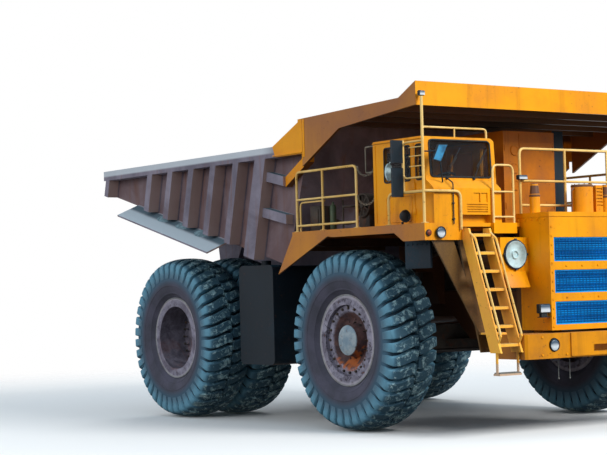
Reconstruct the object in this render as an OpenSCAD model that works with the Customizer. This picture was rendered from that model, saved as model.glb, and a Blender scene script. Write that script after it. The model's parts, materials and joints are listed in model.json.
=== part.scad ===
// Rigid mining dump truck of the 130 tonne class, empty, standing with its body lowered.
// Lengths are in millimetres. X points ahead, Y to the left and Z up.
// The origin is on the ground below the middle of the truck.
// Inside the modules X is measured from the rear axle, and at_rear() moves it to the origin.

/* [Chassis] */
// Distance between the two axles
wheelbase = 5300; // [5250:10:5400]
// Reach of the bumper's face ahead of the front axle
front_reach = 3440; // [3400:10:3600]
// Reach of the body's tail behind the rear axle
tail_reach = 2650; // [2500:10:2750]
// Gap between the two frame rails
rail_gap = 1100; // [1060:10:1120]
// Width of one frame rail
rail_w = 400; // [360:10:420]
// Depth of the front bumper
bumper_h = 390; // [340:10:420]
// Width of the front bumper
bumper_w = 3920; // [3800:20:4000]
// Diameter of the bores in the towing lugs
tow_bore = 90; // [70:2:100]

/* [Wheels] */
// Outer radius of a tyre over its lugs
tyre_r = 1530; // [1500:5:1540]
// Width of a tyre at its widest
tyre_w = 930; // [900:5:940]
// Radius of the rim under the tyre's bead
rim_r = 648; // [630:2:660]
// Height of the rim's flange over the bead
flange_h = 127; // [110:1:135]
// Width of a rim between its flanges
rim_w = 610; // [580:5:630]
// Number of lugs round a tyre, an even number
lugs = 40; // [36:2:44]
// Depth of the lugs at the tyre's shoulders
lug_h = 90; // [70:2:110]
// Fall of the tread from its middle to the shoulders
crown = 75; // [40:5:90]
// Distance from the truck's middle to the middle of a front tyre
front_track = 2560; // [2550:5:2600]
// Distance from the truck's middle to the middle of a rear pair
rear_track = 2260; // [2250:5:2280]
// Distance between the middles of the two tyres in a rear pair
twin_pitch = 1030; // [1020:5:1050]
// Distance from the truck's middle to a kingpin
kingpin_y = 1950; // [1930:5:1960]
// Diameter of a kingpin
kingpin_d = 150; // [130:5:170]
// Length of a steering arm
arm_len = 500; // [460:10:520]

/* [Body] */
// Half width of the load space outside its walls
tub_half = 2950; // [2900:10:2990]
// Thickness of the load space's walls
wall = 60; // [40:5:80]
// Height of the body's top rail over the ground
rail_top = 4930; // [4880:10:4960]
// Height of the floor's front foot over the ground
foot_z = 2830; // [2810:10:2860]
// Distance of the floor's front foot behind the front axle
foot_back = 1610; // [1560:10:1660]
// Slope of the floor, rising to the tail
floor_slope = 14.1; // [13.5:0.1:14.5]
// Distance between the ribs on a side
rib_pitch = 742; // [700:2:760]
// Number of narrow ribs on a side
ribs = 5; // [3:1:5]
// Width of a narrow rib
rib_w = 190; // [150:10:230]
// Depth of the ribs outside the walls
rib_out = 250; // [200:10:260]
// Height of the pivot that the body tips on
pivot_z = 2750; // [2740:5:2790]
// Distance of the body's pivot behind the rear axle
pivot_back = 1350; // [1330:5:1370]
// Diameter of the pivot's pins
pivot_d = 220; // [180:10:240]
// Height of the canopy's front edge over the cab's roof
canopy_rise = 850; // [810:10:910]
// Distance of the canopy's front ahead of the front axle
canopy_reach = 2390; // [2300:10:2400]

/* [Decks and cab] */
// Half width over the decks
deck_half = 3200; // [3150:10:3220]
// Height of the decks over the ground
deck_z = 3400; // [3380:5:3440]
// Thickness of the deck plates
deck_t = 60; // [40:5:70]
// Distance of the decks' front ahead of the front axle
deck_reach = 2530; // [2500:10:2560]
// Distance of the decks' rear edge behind the front axle
deck_back = 1110; // [1080:10:1140]
// Distance from the truck's middle to the cab's outer wall
cab_out = 3000; // [2960:10:3040]
// Width of the cab
cab_w = 1460; // [1400:10:1500]
// Distance of the cab's rear wall ahead of the front axle
cab_start = 990; // [960:10:1040]
// Length of the cab's roof
cab_len = 1360; // [1320:10:1400]
// Height of the cab's roof over the deck
cab_h = 1390; // [1350:10:1440]
// Thickness of the cab's walls
cab_t = 60; // [40:5:70]
// Width of the cab's door
door_w = 780; // [700:10:800]
// Half width of the radiator housing
radiator_half = 1200; // [1160:10:1220]
// Height of the radiator housing's top over the ground
radiator_top = 3550; // [3500:10:3600]
// Diameter of a handrail's tube
tube_d = 48; // [40:2:60]

/* [Hoist] */
// Distance of the hoists' lower pins ahead of the rear axle
hoist_x = 1900; // [1890:5:1920]
// Height of the hoists' lower pins over the ground
hoist_z = 1200; // [1190:5:1220]
// Distance of the hoists' upper pins ahead of the rear axle
eye_x = 2200; // [2190:5:2220]
// Height of the hoists' upper pins over the ground
eye_z = 2850; // [2840:5:2860]
// Outer diameter of a hoist's barrel
barrel_d = 340; // [300:5:350]
// Distance from the truck's middle to a hoist
hoist_y = 1250; // [1230:5:1270]

/* [Hidden] */
$fn = 48;

// Clearances
seat = 0.3;
pin_play = 0.5;
run_gap = 5;

// Places worked out from the sizes above
rear_x = -(wheelbase + front_reach - tail_reach) / 2;
fx = wheelbase;
axle_z = tyre_r;
bumper_x = fx + front_reach;
deck_x1 = fx + deck_reach;
deck_x0 = fx - deck_back;
rail_in = rail_gap / 2;
rail_out = rail_in + rail_w;
cab_in = cab_out - cab_w;
cab_x0 = fx + cab_start;
cab_x1 = cab_x0 + cab_len;
cab_top = deck_z + cab_h;
canopy_top = cab_top + canopy_rise;
foot_x = fx - foot_back;
tail_x = -tail_reach;
pivot_x = -pivot_back;
slope_t = tan(floor_slope);
flange_r = rim_r + flange_h;
flange_t = 40;
twin_out = twin_pitch / 2;
tow_out = 330;
body_out = tub_half + rib_out;
canopy_root_z = canopy_top - 300;
canopy_root_low = canopy_root_z - 830;

// Height of the underside of the load floor at a place along the truck
function floor_z(x) = foot_z + (foot_x - x) * slope_t;

module at_rear() translate([rear_x, 0, 0]) children();
module both_sides() {
  children();
  mirror([0, 1, 0]) children();
}
// A profile drawn in X and Z, as thick as from y0 to y1
module side_slab(y0, y1) translate([0, y1, 0]) rotate([90, 0, 0]) linear_extrude(y1 - y0) children();
// A profile drawn in Y and Z, as thick as from x0 to x1
module cross_slab(x0, x1) translate([x0, 0, 0]) rotate([90, 0, 90]) linear_extrude(x1 - x0) children();
// A box from one corner to the opposite one
module block(a, b) translate(a) cube(b - a);
// A round bar along Y
module y_bar(x, z, r, y0, y1) translate([x, y1, z]) rotate([90, 0, 0]) cylinder(r = r, h = y1 - y0);
// A round bar between two points
module bar(a, b, r, n = 24) {
  d = b - a;
  len = norm(d);
  translate(a) rotate([0, acos(d[2] / len), atan2(d[1], d[0])]) cylinder(r = r, h = len, $fn = n);
}
// A handrail through points, with a ball at each of its bends
module rail_path(points, r = tube_d / 2) {
  for (i = [0 : len(points) - 2]) bar(points[i], points[i + 1], r);
  if (len(points) > 2)
    for (i = [1 : len(points) - 2]) translate(points[i]) sphere(r = r * 1.06, $fn = 24);
}

/* Frame and axles */

// Edges of a frame rail from the front to the pivot: x, bottom, top
rail_shape = [
  [bumper_x - 700, 1300, 1950],
  [bumper_x - 1340, 1420, 2300],
  [fx + 900, 1500, 2320],
  [fx + 500, 1880, 2320],
  [fx - 900, 1880, 2340],
  [fx - 1400, 1540, 2350],
  [2700, 1560, 2380],
  [1000, 2240, 2700],
  [pivot_x + 260, 2240, pivot_z + 180]
];
module rail_profile() {
  low = [for (s = rail_shape) [s[0], s[1]]];
  high = [for (i = [len(rail_shape) - 1 : -1 : 0]) [rail_shape[i][0], rail_shape[i][2]]];
  polygon(concat(low, high));
  translate([pivot_x, pivot_z]) circle(r = pivot_end_r);
  polygon([[pivot_x - 120, pivot_z - 215], [pivot_x + 261, 2240], [pivot_x + 261, pivot_z + 180],
           [pivot_x, pivot_z + pivot_end_r]]);
}
pivot_end_r = pivot_d / 2 + 140;
ear_in = rail_out + run_gap;
ear_out = ear_in + 90;
pin_end = ear_out + 40;
// Cross members between the rails: x, z, radius
cross_tubes = [[bumper_x - 1250, 1750, 150], [fx + 1300, 1750, 170], [fx - 650, 1990, 110],
               [fx - 1250, 1900, 170], [2300, 1880, 200], [820, 2420, 160], [-900, 2560, 190]];
tower_y = 1400;
strut_top = 2650;
ball_z = 1480;
rear_ball_z = 1560;
module frame() {
  color("#d99a1c") at_rear() {
    both_sides() {
      side_slab(rail_in, rail_out) rail_profile();
      y_bar(pivot_x, pivot_z, pivot_d / 2, rail_out - 1, pin_end);
      // Tower that the front strut stands under
      cross_slab(fx - 260, fx + 260)
        polygon([[rail_out - 1, 2100], [rail_out + 120, 2100], [tower_y - 170, strut_top],
                 [tower_y + 170, strut_top], [tower_y + 170, strut_top + 120],
                 [rail_out - 1, strut_top + 330]]);
      // Bracket and pin of the hoist
      side_slab(rail_out - 1, rail_out + 60)
        polygon([[hoist_x - 230, 1980], [hoist_x - 130, hoist_z - 110], [hoist_x + 130, hoist_z - 110],
                 [hoist_x + 420, 1650], [hoist_x + 420, 1980]]);
      y_bar(hoist_x, hoist_z, 60, rail_out + 59, hoist_y + barrel_d / 2 - 20);
    }
    for (t = cross_tubes) y_bar(t[0], t[1], t[2], -rail_in - 1, rail_in + 1);
    // Ball seats for the front and the rear axle arms
    block([fx + 1180, -160, ball_z], [fx + 1420, 160, 1700]);
    block([2180, -160, rear_ball_z], [2420, 160, 1760]);
  }
}

module deck_post(x0, x1, y1) {
  both_sides() {
    block([x0, rail_out - 250, 2100], [x1, rail_out - 50, deck_z - deck_t - 200]);
    cross_slab(x0, x1)
      polygon([[rail_out - 300, deck_z - deck_t - 200], [y1 - 500, deck_z - deck_t - 200],
               [y1, deck_z - deck_t - 90], [y1, deck_z - deck_t], [rail_out - 300, deck_z - deck_t]]);
  }
  block([x0, -rail_out + 299, deck_z - deck_t - 200], [x1, rail_out - 299, deck_z - deck_t]);
}
module deck_frame() {
  color("#c98f22") at_rear() {
    difference() {
      deck_post(fx - 1060, fx - 900, deck_half - 60);
      rail_cut();
    }
    difference() {
      deck_post(fx + 2060, fx + 2200, deck_half - 60);
      rail_cut();
    }
  }
}
module rail_cut() both_sides() side_slab(rail_in - 1, rail_out + 1) rail_profile();

engine_x0 = fx - 820;
engine_x1 = fx + 1900;
module engine() {
  color("#6b7568") at_rear() difference() {
    block([engine_x0, -rail_in + 20, 1900], [engine_x1, rail_in - 20, 3120]);
    for (t = cross_tubes) y_bar(t[0], t[1], t[2] + seat, -rail_in, rail_in);
  }
}

yoke_gap = 250;
yoke_t = 110;
yoke_r = 170;
beam_y = kingpin_y - 300;
module front_axle() {
  color("#6e5a44") at_rear() {
    difference() {
      union() {
        both_sides() {
          for (z = [axle_z + yoke_gap, axle_z - yoke_gap - yoke_t])
            translate([fx, kingpin_y, z]) cylinder(r = yoke_r, h = yoke_t);
          for (z = [axle_z + yoke_gap, axle_z - yoke_gap - yoke_t])
            block([fx - yoke_r, beam_y - 1, z], [fx + yoke_r, kingpin_y, z + yoke_t]);
          block([fx - 190, beam_y - 160, axle_z - yoke_gap - yoke_t],
                [fx + 190, beam_y, axle_z + yoke_gap + yoke_t]);
        }
        block([fx - 190, -beam_y + 159, axle_z - 210], [fx + 190, beam_y - 159, axle_z + 210]);
        // Seats of the struts
        both_sides() translate([fx, tower_y, axle_z + 209]) cylinder(r = 150, h = 90);
        // Arm to the ball under the frame
        translate([0, 0, ball_z - seat - 130]) linear_extrude(130) difference() {
          polygon([[fx + 189, -900], [fx + 1380, -110], [fx + 1380, 110], [fx + 189, 900]]);
          polygon([[fx + 280, -560], [fx + 900, -80], [fx + 900, 80], [fx + 280, 560]]);
        }
      }
      both_sides() translate([fx, kingpin_y, axle_z - 500])
        cylinder(r = kingpin_d / 2 + pin_play, h = 1000);
    }
  }
}

strut_d = 260;
module struts() {
  color("#8a8f90") at_rear() both_sides() {
    translate([fx, tower_y, axle_z + 299]) cylinder(r = strut_d / 2 - 45, h = 400);
    translate([fx, tower_y, axle_z + 640]) cylinder(r = strut_d / 2, h = strut_top - axle_z - 640);
    translate([-600, rail_in + rail_w / 2, 2000]) cylinder(r = strut_d / 2 - 30, h = 120);
    translate([-600, rail_in + rail_w / 2, 2100]) cylinder(r = strut_d / 2 + 20, h = 140);
  }
}

spindle_r = 400;
hub_end = rear_track + 250;
module rear_axle() {
  color("#4f4a45") at_rear() {
    y_bar(0, axle_z, 430, -1000, 1000);
    both_sides() {
      y_bar(0, axle_z, 560, 1000, 1110);
      y_bar(0, axle_z, spindle_r, 1109, hub_end);
      // Seat of the rear strut
      block([-730, rail_in + 60, 1700], [-300, rail_out - 60, 2000]);
    }
    // Arm to the ball under the frame
    translate([0, 0, rear_ball_z - seat - 130]) linear_extrude(130) polygon(
      [[200, -850], [2380, -110], [2380, 110], [200, 850]]);
    // Rear cover of the axle's case
    translate([-500, 0, axle_z]) rotate([0, 90, 0]) cylinder(r = 330, h = 100);
  }
}

/* Wheels. Each is drawn with its outer side at +Y and moved to its hub. */

// Points of one ring on the tyre: radius, side and angle for each of n steps
function ring(n, r, y, turn, skip = 1) =
  [for (i = [0 : n - 1]) let (a = (i * skip) * 360 / lugs + turn) [r * sin(a), y, -r * cos(a)]];
module tyre() {
  pitch = 360 / lugs;
  // Half angle of a lug's face, and turn of the lugs' ends against their middles
  h = pitch * 0.36;
  skew = -pitch / 4;
  n = lugs;
  m = lugs / 2;
  round_up = 1 / cos(180 / m);
  bead_y = rim_w / 2 - seat;
  tip_y = tyre_w / 2 - 55;
  // Rings: radius, place across the tyre
  tip_r = tyre_r - crown;
  bulge = [(tip_r - lug_h + flange_r) / 2, tyre_w / 2];
  fla = [(flange_r + run_gap) * round_up, bead_y];
  bead = [(rim_r + seat) * round_up, bead_y];
  base = [tip_r - lug_h, tyre_w / 2 - 12];
  points = concat(
    ring(n, tip_r, -tip_y, -2 * h - skew), ring(n, tip_r, -tip_y, -skew),
    ring(n, base[0], -base[1], pitch / 2 - h - skew),
    ring(n, tip_r, tip_y, skew - 2 * h), ring(n, tip_r, tip_y, skew),
    ring(n, base[0], base[1], pitch / 2 - h + skew),
    ring(m, bulge[0], -bulge[1], pitch / 2 - h, 2), ring(m, fla[0], -fla[1], pitch / 2 - h, 2),
    ring(m, bead[0], -bead[1], pitch / 2 - h, 2),
    ring(m, bulge[0], bulge[1], pitch / 2 - h, 2), ring(m, fla[0], fla[1], pitch / 2 - h, 2),
    ring(m, bead[0], bead[1], pitch / 2 - h, 2),
    ring(n, tyre_r, 0, -2 * h), ring(n, tyre_r, 0, 0));
  // First point of each ring
  la = 0;
  lb = n;
  lg = 2 * n;
  ra = 3 * n;
  rb = 4 * n;
  rg = 5 * n;
  side = 6 * n;
  ma = side + 6 * m;
  mb = ma + n;
  faces = concat(
    [for (i = [0 : n - 1]) let (k = (i + 1) % n) each [
      [la + i, lb + i, mb + i], [la + i, mb + i, ma + i],
      [ma + i, mb + i, rb + i], [ma + i, rb + i, ra + i],
      [lb + i, lg + i, mb + i], [lg + i, rg + i, mb + i], [mb + i, rg + i, rb + i],
      [lg + i, la + k, ma + k], [lg + i, ma + k, rg + i], [ma + k, ra + k, rg + i],
      [lg + i, lg + k, lb + k], [lg + i, lb + k, la + k],
      [ra + k, rb + k, rg + k], [ra + k, rg + k, rg + i]]],
    [for (j = [0 : m - 1]) let (k = (j + 1) % m, a = 2 * j, b = a + 1, c = (a + 2) % n) each [
      [side + j, side + k, lg + b], [side + k, lg + c, lg + b], [side + j, lg + b, lg + a],
      [side + 3 * m + k, side + 3 * m + j, rg + b], [rg + c, side + 3 * m + k, rg + b],
      [rg + b, side + 3 * m + j, rg + a]]],
    [for (j = [0 : m - 1], s = [0, 1]) let (k = (j + 1) % m, o = side + s * m) each [
      [o + m + j, o + m + k, o + k], [o + m + j, o + k, o + j],
      [o + 3 * m + j, o + 3 * m + k, o + 4 * m + k], [o + 3 * m + j, o + 4 * m + k, o + 4 * m + j]]],
    [for (j = [0 : m - 1]) let (k = (j + 1) % m, a = side + 2 * m, b = side + 5 * m) each [
      [b + j, b + k, a + k], [b + j, a + k, a + j]]]);
  polyhedron(points, faces);
}

// One rim's barrel with its two flanges, as a revolved profile
module rim_ring(y) {
  w = rim_w / 2;
  translate([0, y, 0]) rotate([-90, 0, 0]) rotate_extrude($fn = 72) polygon([
    [rim_r - 45, -w - flange_t], [flange_r - 30, -w - flange_t], [flange_r, -w - flange_t + 14],
    [flange_r, -w], [rim_r, -w], [rim_r, w], [flange_r, w], [flange_r, w + flange_t - 14],
    [flange_r - 30, w + flange_t], [rim_r - 45, w + flange_t]]);
}
// A turned part about Y from points: radius, place
module turned(points) rotate([-90, 0, 0]) rotate_extrude($fn = 72) polygon(points);
module bolt_ring(n, r, y, size, h)
  for (i = [0 : n - 1]) rotate([0, i * 360 / n, 0]) translate([r, y, 0]) rotate([-90, 0, 0])
    cylinder(r = size, h = h, $fn = 6);

front_hub_y = front_track - kingpin_y;
spindle_f = 110;
module front_rim() {
  difference() {
    union() {
      rim_ring(0);
      // Dished disc and hub
      turned([[0, -260], [250, -260], [290, -60], [rim_r - 44, -20], [rim_r - 44, 60],
              [470, 80], [430, 130], [300, 130], [260, 250], [120, 270], [110, 310], [0, 310]]);
      bolt_ring(20, 530, 60, 28, 60);
      bolt_ring(12, 360, 130, 22, 34);
    }
    translate([0, -400, 0]) rotate([-90, 0, 0]) cylinder(r = spindle_f + pin_play, h = 400 + 150);
  }
}
rear_hub_r = spindle_r + 100;
module rear_rims() {
  difference() {
    union() {
      for (y = [-twin_out, twin_out]) rim_ring(y);
      // Drum over the spindle, with the discs that carry the two rims
      turned([[0, -800], [rear_hub_r, -800], [rear_hub_r, -560], [rim_r - 44, -540],
              [rim_r - 44, -470], [rear_hub_r, -450], [rear_hub_r, 180], [rim_r - 44, 220],
              [rim_r - 44, 290], [rear_hub_r + 20, 300], [rear_hub_r - 20, 345], [330, 345],
              [300, 400], [150, 430], [0, 430]]);
      bolt_ring(24, rear_hub_r + 50, 290, 26, 40);
      bolt_ring(16, 400, 340, 24, 36);
    }
    translate([0, -900, 0]) rotate([-90, 0, 0])
      cylinder(r = spindle_r + pin_play, h = 900 + hub_end - rear_track + run_gap);
  }
}

// Places a wheel drawn about the origin: side is 1 for left and -1 for right
module at_wheel(x, y, side) at_rear() translate([x, side * y, axle_z]) scale_y(side) children();
module scale_y(side) mirror([0, side < 0 ? 1 : 0, 0]) children();

module front_rim_at(side) color("#6d5148") at_wheel(fx, front_track, side) front_rim();
module front_tyre_at(side) color("#3d474c") at_wheel(fx, front_track, side) tyre();
module rear_rims_at(side) color("#6d5148") at_wheel(0, rear_track, side) rear_rims();
module rear_tyres_at(side) color("#3d474c") at_wheel(0, rear_track, side) {
  translate([0, -twin_out, 0]) tyre();
  translate([0, twin_out, 0]) tyre();
}
module front_rim_left() front_rim_at(1);
module front_rim_right() front_rim_at(-1);
module front_tyre_left() front_tyre_at(1);
module front_tyre_right() front_tyre_at(-1);
module rear_rims_left() rear_rims_at(1);
module rear_rims_right() rear_rims_at(-1);
module rear_tyres_left() rear_tyres_at(1);
module rear_tyres_right() rear_tyres_at(-1);

arm_z = axle_z - 200;
arm_t = 110;
rod_pin_r = 35;
// A knuckle drawn about its kingpin, with its spindle at +Y
module knuckle() {
  difference() {
    union() {
      translate([0, 0, -yoke_gap + run_gap]) cylinder(r = yoke_r - 5, h = 2 * yoke_gap - 2 * run_gap);
      translate([0, 0, -yoke_gap - yoke_t]) cylinder(r = kingpin_d / 2, h = 2 * yoke_gap + 2 * yoke_t);
      rotate([-90, 0, 0]) cylinder(r = 190, h = 280);
      rotate([-90, 0, 0]) cylinder(r = spindle_f, h = front_hub_y + 130);
      translate([-arm_len, -65, arm_z - axle_z]) cube([arm_len, 130, arm_t]);
      translate([-arm_len, 0, arm_z - axle_z]) cylinder(r = 75, h = arm_t);
    }
    translate([-arm_len, 0, arm_z - axle_z - 100]) cylinder(r = rod_pin_r + pin_play, h = 400);
  }
}
module knuckle_at(side) color("#5e5048") at_wheel(fx, kingpin_y, side) knuckle();
module knuckle_left() knuckle_at(1);
module knuckle_right() knuckle_at(-1);
rod_z = arm_z - run_gap - 70;
module tie_rod() {
  color("#7b7f80") at_rear() translate([fx - arm_len, 0, 0]) {
    y_bar(0, rod_z, 42, -kingpin_y + 40, kingpin_y - 40);
    both_sides() {
      translate([0, kingpin_y, rod_z - 65]) cylinder(r = 70, h = 130);
      translate([0, kingpin_y, rod_z + 60]) cylinder(r = rod_pin_r, h = arm_z + arm_t - rod_z - 60);
    }
  }
}

/* Tanks, radiator and bumper */

module rounded_box(a, b, r) {
  // The long edges along Y are rounded
  translate([0, b[1], 0]) rotate([90, 0, 0]) linear_extrude(b[1] - a[1]) union() {
    translate([a[0] + r, a[2]]) square([b[0] - a[0] - 2 * r, b[2] - a[2]]);
    translate([a[0], a[2] + r]) square([b[0] - a[0], b[2] - a[2] - 2 * r]);
    for (x = [a[0] + r, b[0] - r], z = [a[2] + r, b[2] - r]) translate([x, z]) circle(r = r);
  }
}
tank_y = hoist_y + barrel_d / 2 + 170;
tank_top = foot_z + 30;
module tank_arms(side, z)
  for (x = [hoist_x + 620, hoist_x + 1050])
    scale_y(side) block([x, rail_out, z], [x + 120, tank_y, z + 200]);
module side_tanks() {
  color("#3f4a55") at_rear() {
    // Fuel on the right, with its filler neck
    rounded_box([2010, -2920, 1060], [3130, -tank_y, tank_top], 110);
    tank_arms(-1, 1700);
    translate([2300, -2500, tank_top - 1]) cylinder(r = 90, h = 90);
    // Hydraulic oil on the left
    rounded_box([2010, tank_y, 1300], [3130, 2750, 2500], 110);
    tank_arms(1, 1700);
    translate([2300, 2300, 2499]) cylinder(r = 80, h = 90);
  }
}

box_x0 = bumper_x - 1050;
box_x1 = bumper_x - 240;
box_z0 = 1660;
// Openings of the three grilles: lower edge, upper edge
grille_rows = [[1748, 2116], [2253, 2621], [2757, 3143]];
grille_half = radiator_half - 90;
grille_t = 70;
module radiator_box() {
  color("#eeb02a") at_rear() difference() {
    block([box_x0, -radiator_half, box_z0], [box_x1, radiator_half, radiator_top]);
    block([box_x0 - 1, -radiator_half + 80, box_z0 + 80],
        [box_x1 - 90, radiator_half - 80, radiator_top - 80]);
    for (g = grille_rows) block([box_x1 - 91, -grille_half, g[0]], [box_x1 + 1, grille_half, g[1]]);
    // Seam below the lid, and the rails' passage
    for (y = [-radiator_half - 1, radiator_half - 11])
      block([box_x0 + 40, y, radiator_top - 86], [box_x1 + 1, y + 12, radiator_top - 74]);
    block([box_x1 - 12, -radiator_half - 1, radiator_top - 86],
        [box_x1 + 1, radiator_half + 1, radiator_top - 74]);
    both_sides() block([box_x0 - 1, rail_in - seat, box_z0 - 1], [box_x1 - 200, rail_out + seat, 2360]);
  }
}
grille_slats = 9;
module grilles() {
  color("#1f5f9e") at_rear() for (g = grille_rows) {
    h = g[1] - g[0];
    difference() {
      block([box_x1 - grille_t, -grille_half, g[0]], [box_x1 - 12, grille_half, g[1]]);
      block([box_x1 - 40, -grille_half + 30, g[0] + 22], [box_x1 - 11, grille_half - 30, g[1] - 22]);
    }
    for (i = [1 : grille_slats]) {
      z = g[0] + 22 + i * (h - 44) / (grille_slats + 1);
      block([box_x1 - 41, -grille_half + 29, z - 6], [box_x1 - 16, grille_half - 29, z + 6]);
    }
  }
}

bumper_z = 1230;
bumper_half = bumper_w / 2;
pocket_half = 530;
lamp_y = bumper_half - 590;
lamp_z = bumper_z + 210;
module bumper() {
  color("#eeb02a") at_rear() difference() {
    union() {
      translate([0, 0, bumper_z]) linear_extrude(bumper_h) polygon([
        [bumper_x - 700, -bumper_half], [bumper_x - 60, -bumper_half], [bumper_x - 25, -bumper_half + 40],
        [bumper_x - 25, bumper_half - 40], [bumper_x - 60, bumper_half], [bumper_x - 700, bumper_half]]);
      block([bumper_x - 26, -1020, bumper_z + 20], [bumper_x, 1020, bumper_z + bumper_h]);
    }
    block([bumper_x - 500, -bumper_half + 60, bumper_z - 1],
        [bumper_x - 90, -rail_out - 60, bumper_z + bumper_h - 60]);
    block([bumper_x - 500, rail_out + 60, bumper_z - 1],
        [bumper_x - 90, bumper_half - 60, bumper_z + bumper_h - 60]);
    block([bumper_x - 180, -pocket_half, bumper_z + 80], [bumper_x + 1, pocket_half, bumper_z + 190]);
    both_sides() side_slab(rail_in - seat, rail_out + seat) rail_profile();
    both_sides() translate([bumper_x - 80, lamp_y, lamp_z]) rotate([0, 90, 0]) cylinder(r = 112, h = 90);
    // Bores for the pins of the front tow shackles, through the pocket's two walls
    for (y = [-tow_out, tow_out]) translate([bumper_x - 100, y, bumper_z - 1])
        cylinder(r = tow_bore / 2, h = bumper_h + 2);
  }
}
// Towing plates at the rear of the frame, seated on the last cross member
tow_x = pivot_x;
module tow_lugs() {
  color("#4a4a48") at_rear() for (y = [-tow_out, tow_out]) difference() {
    union() {
      block([tow_x, y - 120, 2460], [cross_tubes[6][0], y + 120, 2540]);
      translate([tow_x, y, 2460]) cylinder(r = 120, h = 80);
    }
    translate([tow_x, y, 2459]) cylinder(r = tow_bore / 2, h = 82);
    y_bar(cross_tubes[6][0], cross_tubes[6][1], cross_tubes[6][2] + seat, y - 121, y + 121);
  }
}

/* Decks */

skirt_t = 40;
// Side skirt with the guard plate over the wheel's rear
module deck_skirt() {
  z1 = deck_z - deck_t;
  polygon([
    [deck_x0, z1], [fx - 1570, deck_z - 720], [fx - 70, deck_z - 110], [fx + 60, deck_z - 130],
    [fx + 1750, deck_z - 130], [fx + 1980, deck_z - 270], [deck_x1, deck_z - 270], [deck_x1, z1]]);
}
module deck_side(side) {
  scale_y(side) {
    block([deck_x0, radiator_half, deck_z - deck_t], [deck_x1, deck_half, deck_z]);
    side_slab(deck_half - skirt_t, deck_half) deck_skirt();
    // Front fascia outside the ladder
    block([deck_x1 - 40, 2440, deck_z - 270], [deck_x1, deck_half - skirt_t, deck_z - deck_t]);
    // Guard across the wheel's rear
    cross_slab(deck_x0, deck_x0 + 30)
      polygon([[radiator_half, deck_z - deck_t], [deck_half - skirt_t, deck_z - deck_t],
               [deck_half - skirt_t, deck_z - 330], [radiator_half, deck_z - 330]]);
    // Flap hung below the deck ahead of the wheel
    block([fx + 1650, deck_half - 340, deck_z - 700], [fx + 2280, deck_half - 300, deck_z - 265]);
    block([fx + 1650, deck_half - 340, deck_z - 266], [fx + 2000, deck_half - 300, deck_z - deck_t + 1]);
  }
}
module side_decks() {
  color("#e9a826") at_rear() {
    deck_side(-1);
    deck_side(1);
  }
}
module deck_middle() {
  color("#c98f22") at_rear() block([deck_x0, -radiator_half, deck_z - deck_t],
      [box_x0, radiator_half, deck_z]);
}

/* Cab */

// Side outline of the cab over the deck, drawn in X and Z
module cab_outline(inset = 0) {
  polygon([
    [cab_x0 + inset, deck_z + inset], [cab_x1 - inset, deck_z + inset],
    [cab_x1 - inset, deck_z + 700], [cab_x1 - 40 - inset, cab_top - 60],
    [cab_x1 - 120 - inset, cab_top - inset], [cab_x0 + inset, cab_top - inset]]);
}
glass_t = 14;
door_x0 = cab_x1 - 400 - door_w;
door_x1 = cab_x1 - 400;
door_z0 = deck_z + 75;
door_z1 = cab_top - 90;
// The door's hinge line: radius of the barrels, and how far they stand in from the opening's edge
hinge_r = 22;
hinge_in = 10;
hinge_z = [door_z0 + 200, door_z1 - 360];
// Windows of the cab's outer side: x0, x1, z0, z1
side_windows = [[cab_x0 + 300, cab_x1 - 390, deck_z + 700, cab_top - 130],
                [cab_x1 - 240, cab_x1 - 90, deck_z + 700, cab_top - 130]];
shield = [deck_z + 740, cab_top - cab_t - 2];
module window_boxes(grow, y0, y1)
  for (w = side_windows)
    block([w[0] - grow, y0, w[2] - grow], [w[1] + grow, y1, w[3] + grow]);
module cab_shell() {
  color("#eeb02a") at_rear() difference() {
    side_slab(-cab_out, -cab_in) cab_outline();
    side_slab(-cab_out + cab_t, -cab_in - cab_t) cab_outline(cab_t);
    window_boxes(0, -cab_out - 1, -cab_out + cab_t + 1);
    // Windshield, rear window and the door's opening
    block([cab_x1 - 300, -cab_out + 100, shield[0]], [cab_x1 + 1, -cab_in - 100, shield[1]]);
    block([cab_x0 - 1, -cab_out + 250, deck_z + 780], [cab_x0 + cab_t + 1, -cab_in - 250, cab_top - 180]);
    block([door_x0, -cab_in - cab_t - 1, door_z0], [door_x1, -cab_in + 1, door_z1]);
    block([door_x1 + 90, -cab_in - cab_t - 1, deck_z + 760], [cab_x1 - 90, -cab_in + 1, cab_top - 150]);
  }
  // Fixed halves of the door's hinges
  color("#eeb02a") at_rear() for (z = hinge_z) {
    translate([door_x1 - hinge_in, -cab_in + hinge_r, z + 100 + pin_play])
        cylinder(r = hinge_r - 2, h = 60);
    block([door_x1 - hinge_in, -cab_in + 2, z + 100 + pin_play],
        [door_x1 + 70, -cab_in + 12, z + 160 + pin_play]);
    block([door_x1 + 10, -cab_in - 1, z + 100 + pin_play],
        [door_x1 + 70, -cab_in + 12, z + 160 + pin_play]);
  }
}
module cab_glass() {
  color("#9fc4d4") at_rear() {
    window_boxes(-seat, -cab_out + cab_t / 2 - glass_t, -cab_out + cab_t / 2);
    intersection() {
      block([cab_x1 - 300, -cab_out + 100 + seat, shield[0] + seat],
          [cab_x1, -cab_in - 100 - seat, shield[1] - seat]);
      difference() {
        side_slab(-cab_out, -cab_in) cab_outline(25);
        side_slab(-cab_out - 1, -cab_in + 1) cab_outline(25 + glass_t);
      }
    }
    block([cab_x0 + 20, -cab_out + 250 + seat, deck_z + 780 + seat],
          [cab_x0 + 20 + glass_t, -cab_in - 250 - seat, cab_top - 180 - seat]);
    block([door_x1 + 90 + seat, -cab_in - 34, deck_z + 760 + seat],
          [cab_x1 - 90 - seat, -cab_in - 20, cab_top - 150 - seat]);
  }
}
seat_y = -(cab_out + cab_in) / 2;
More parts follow.
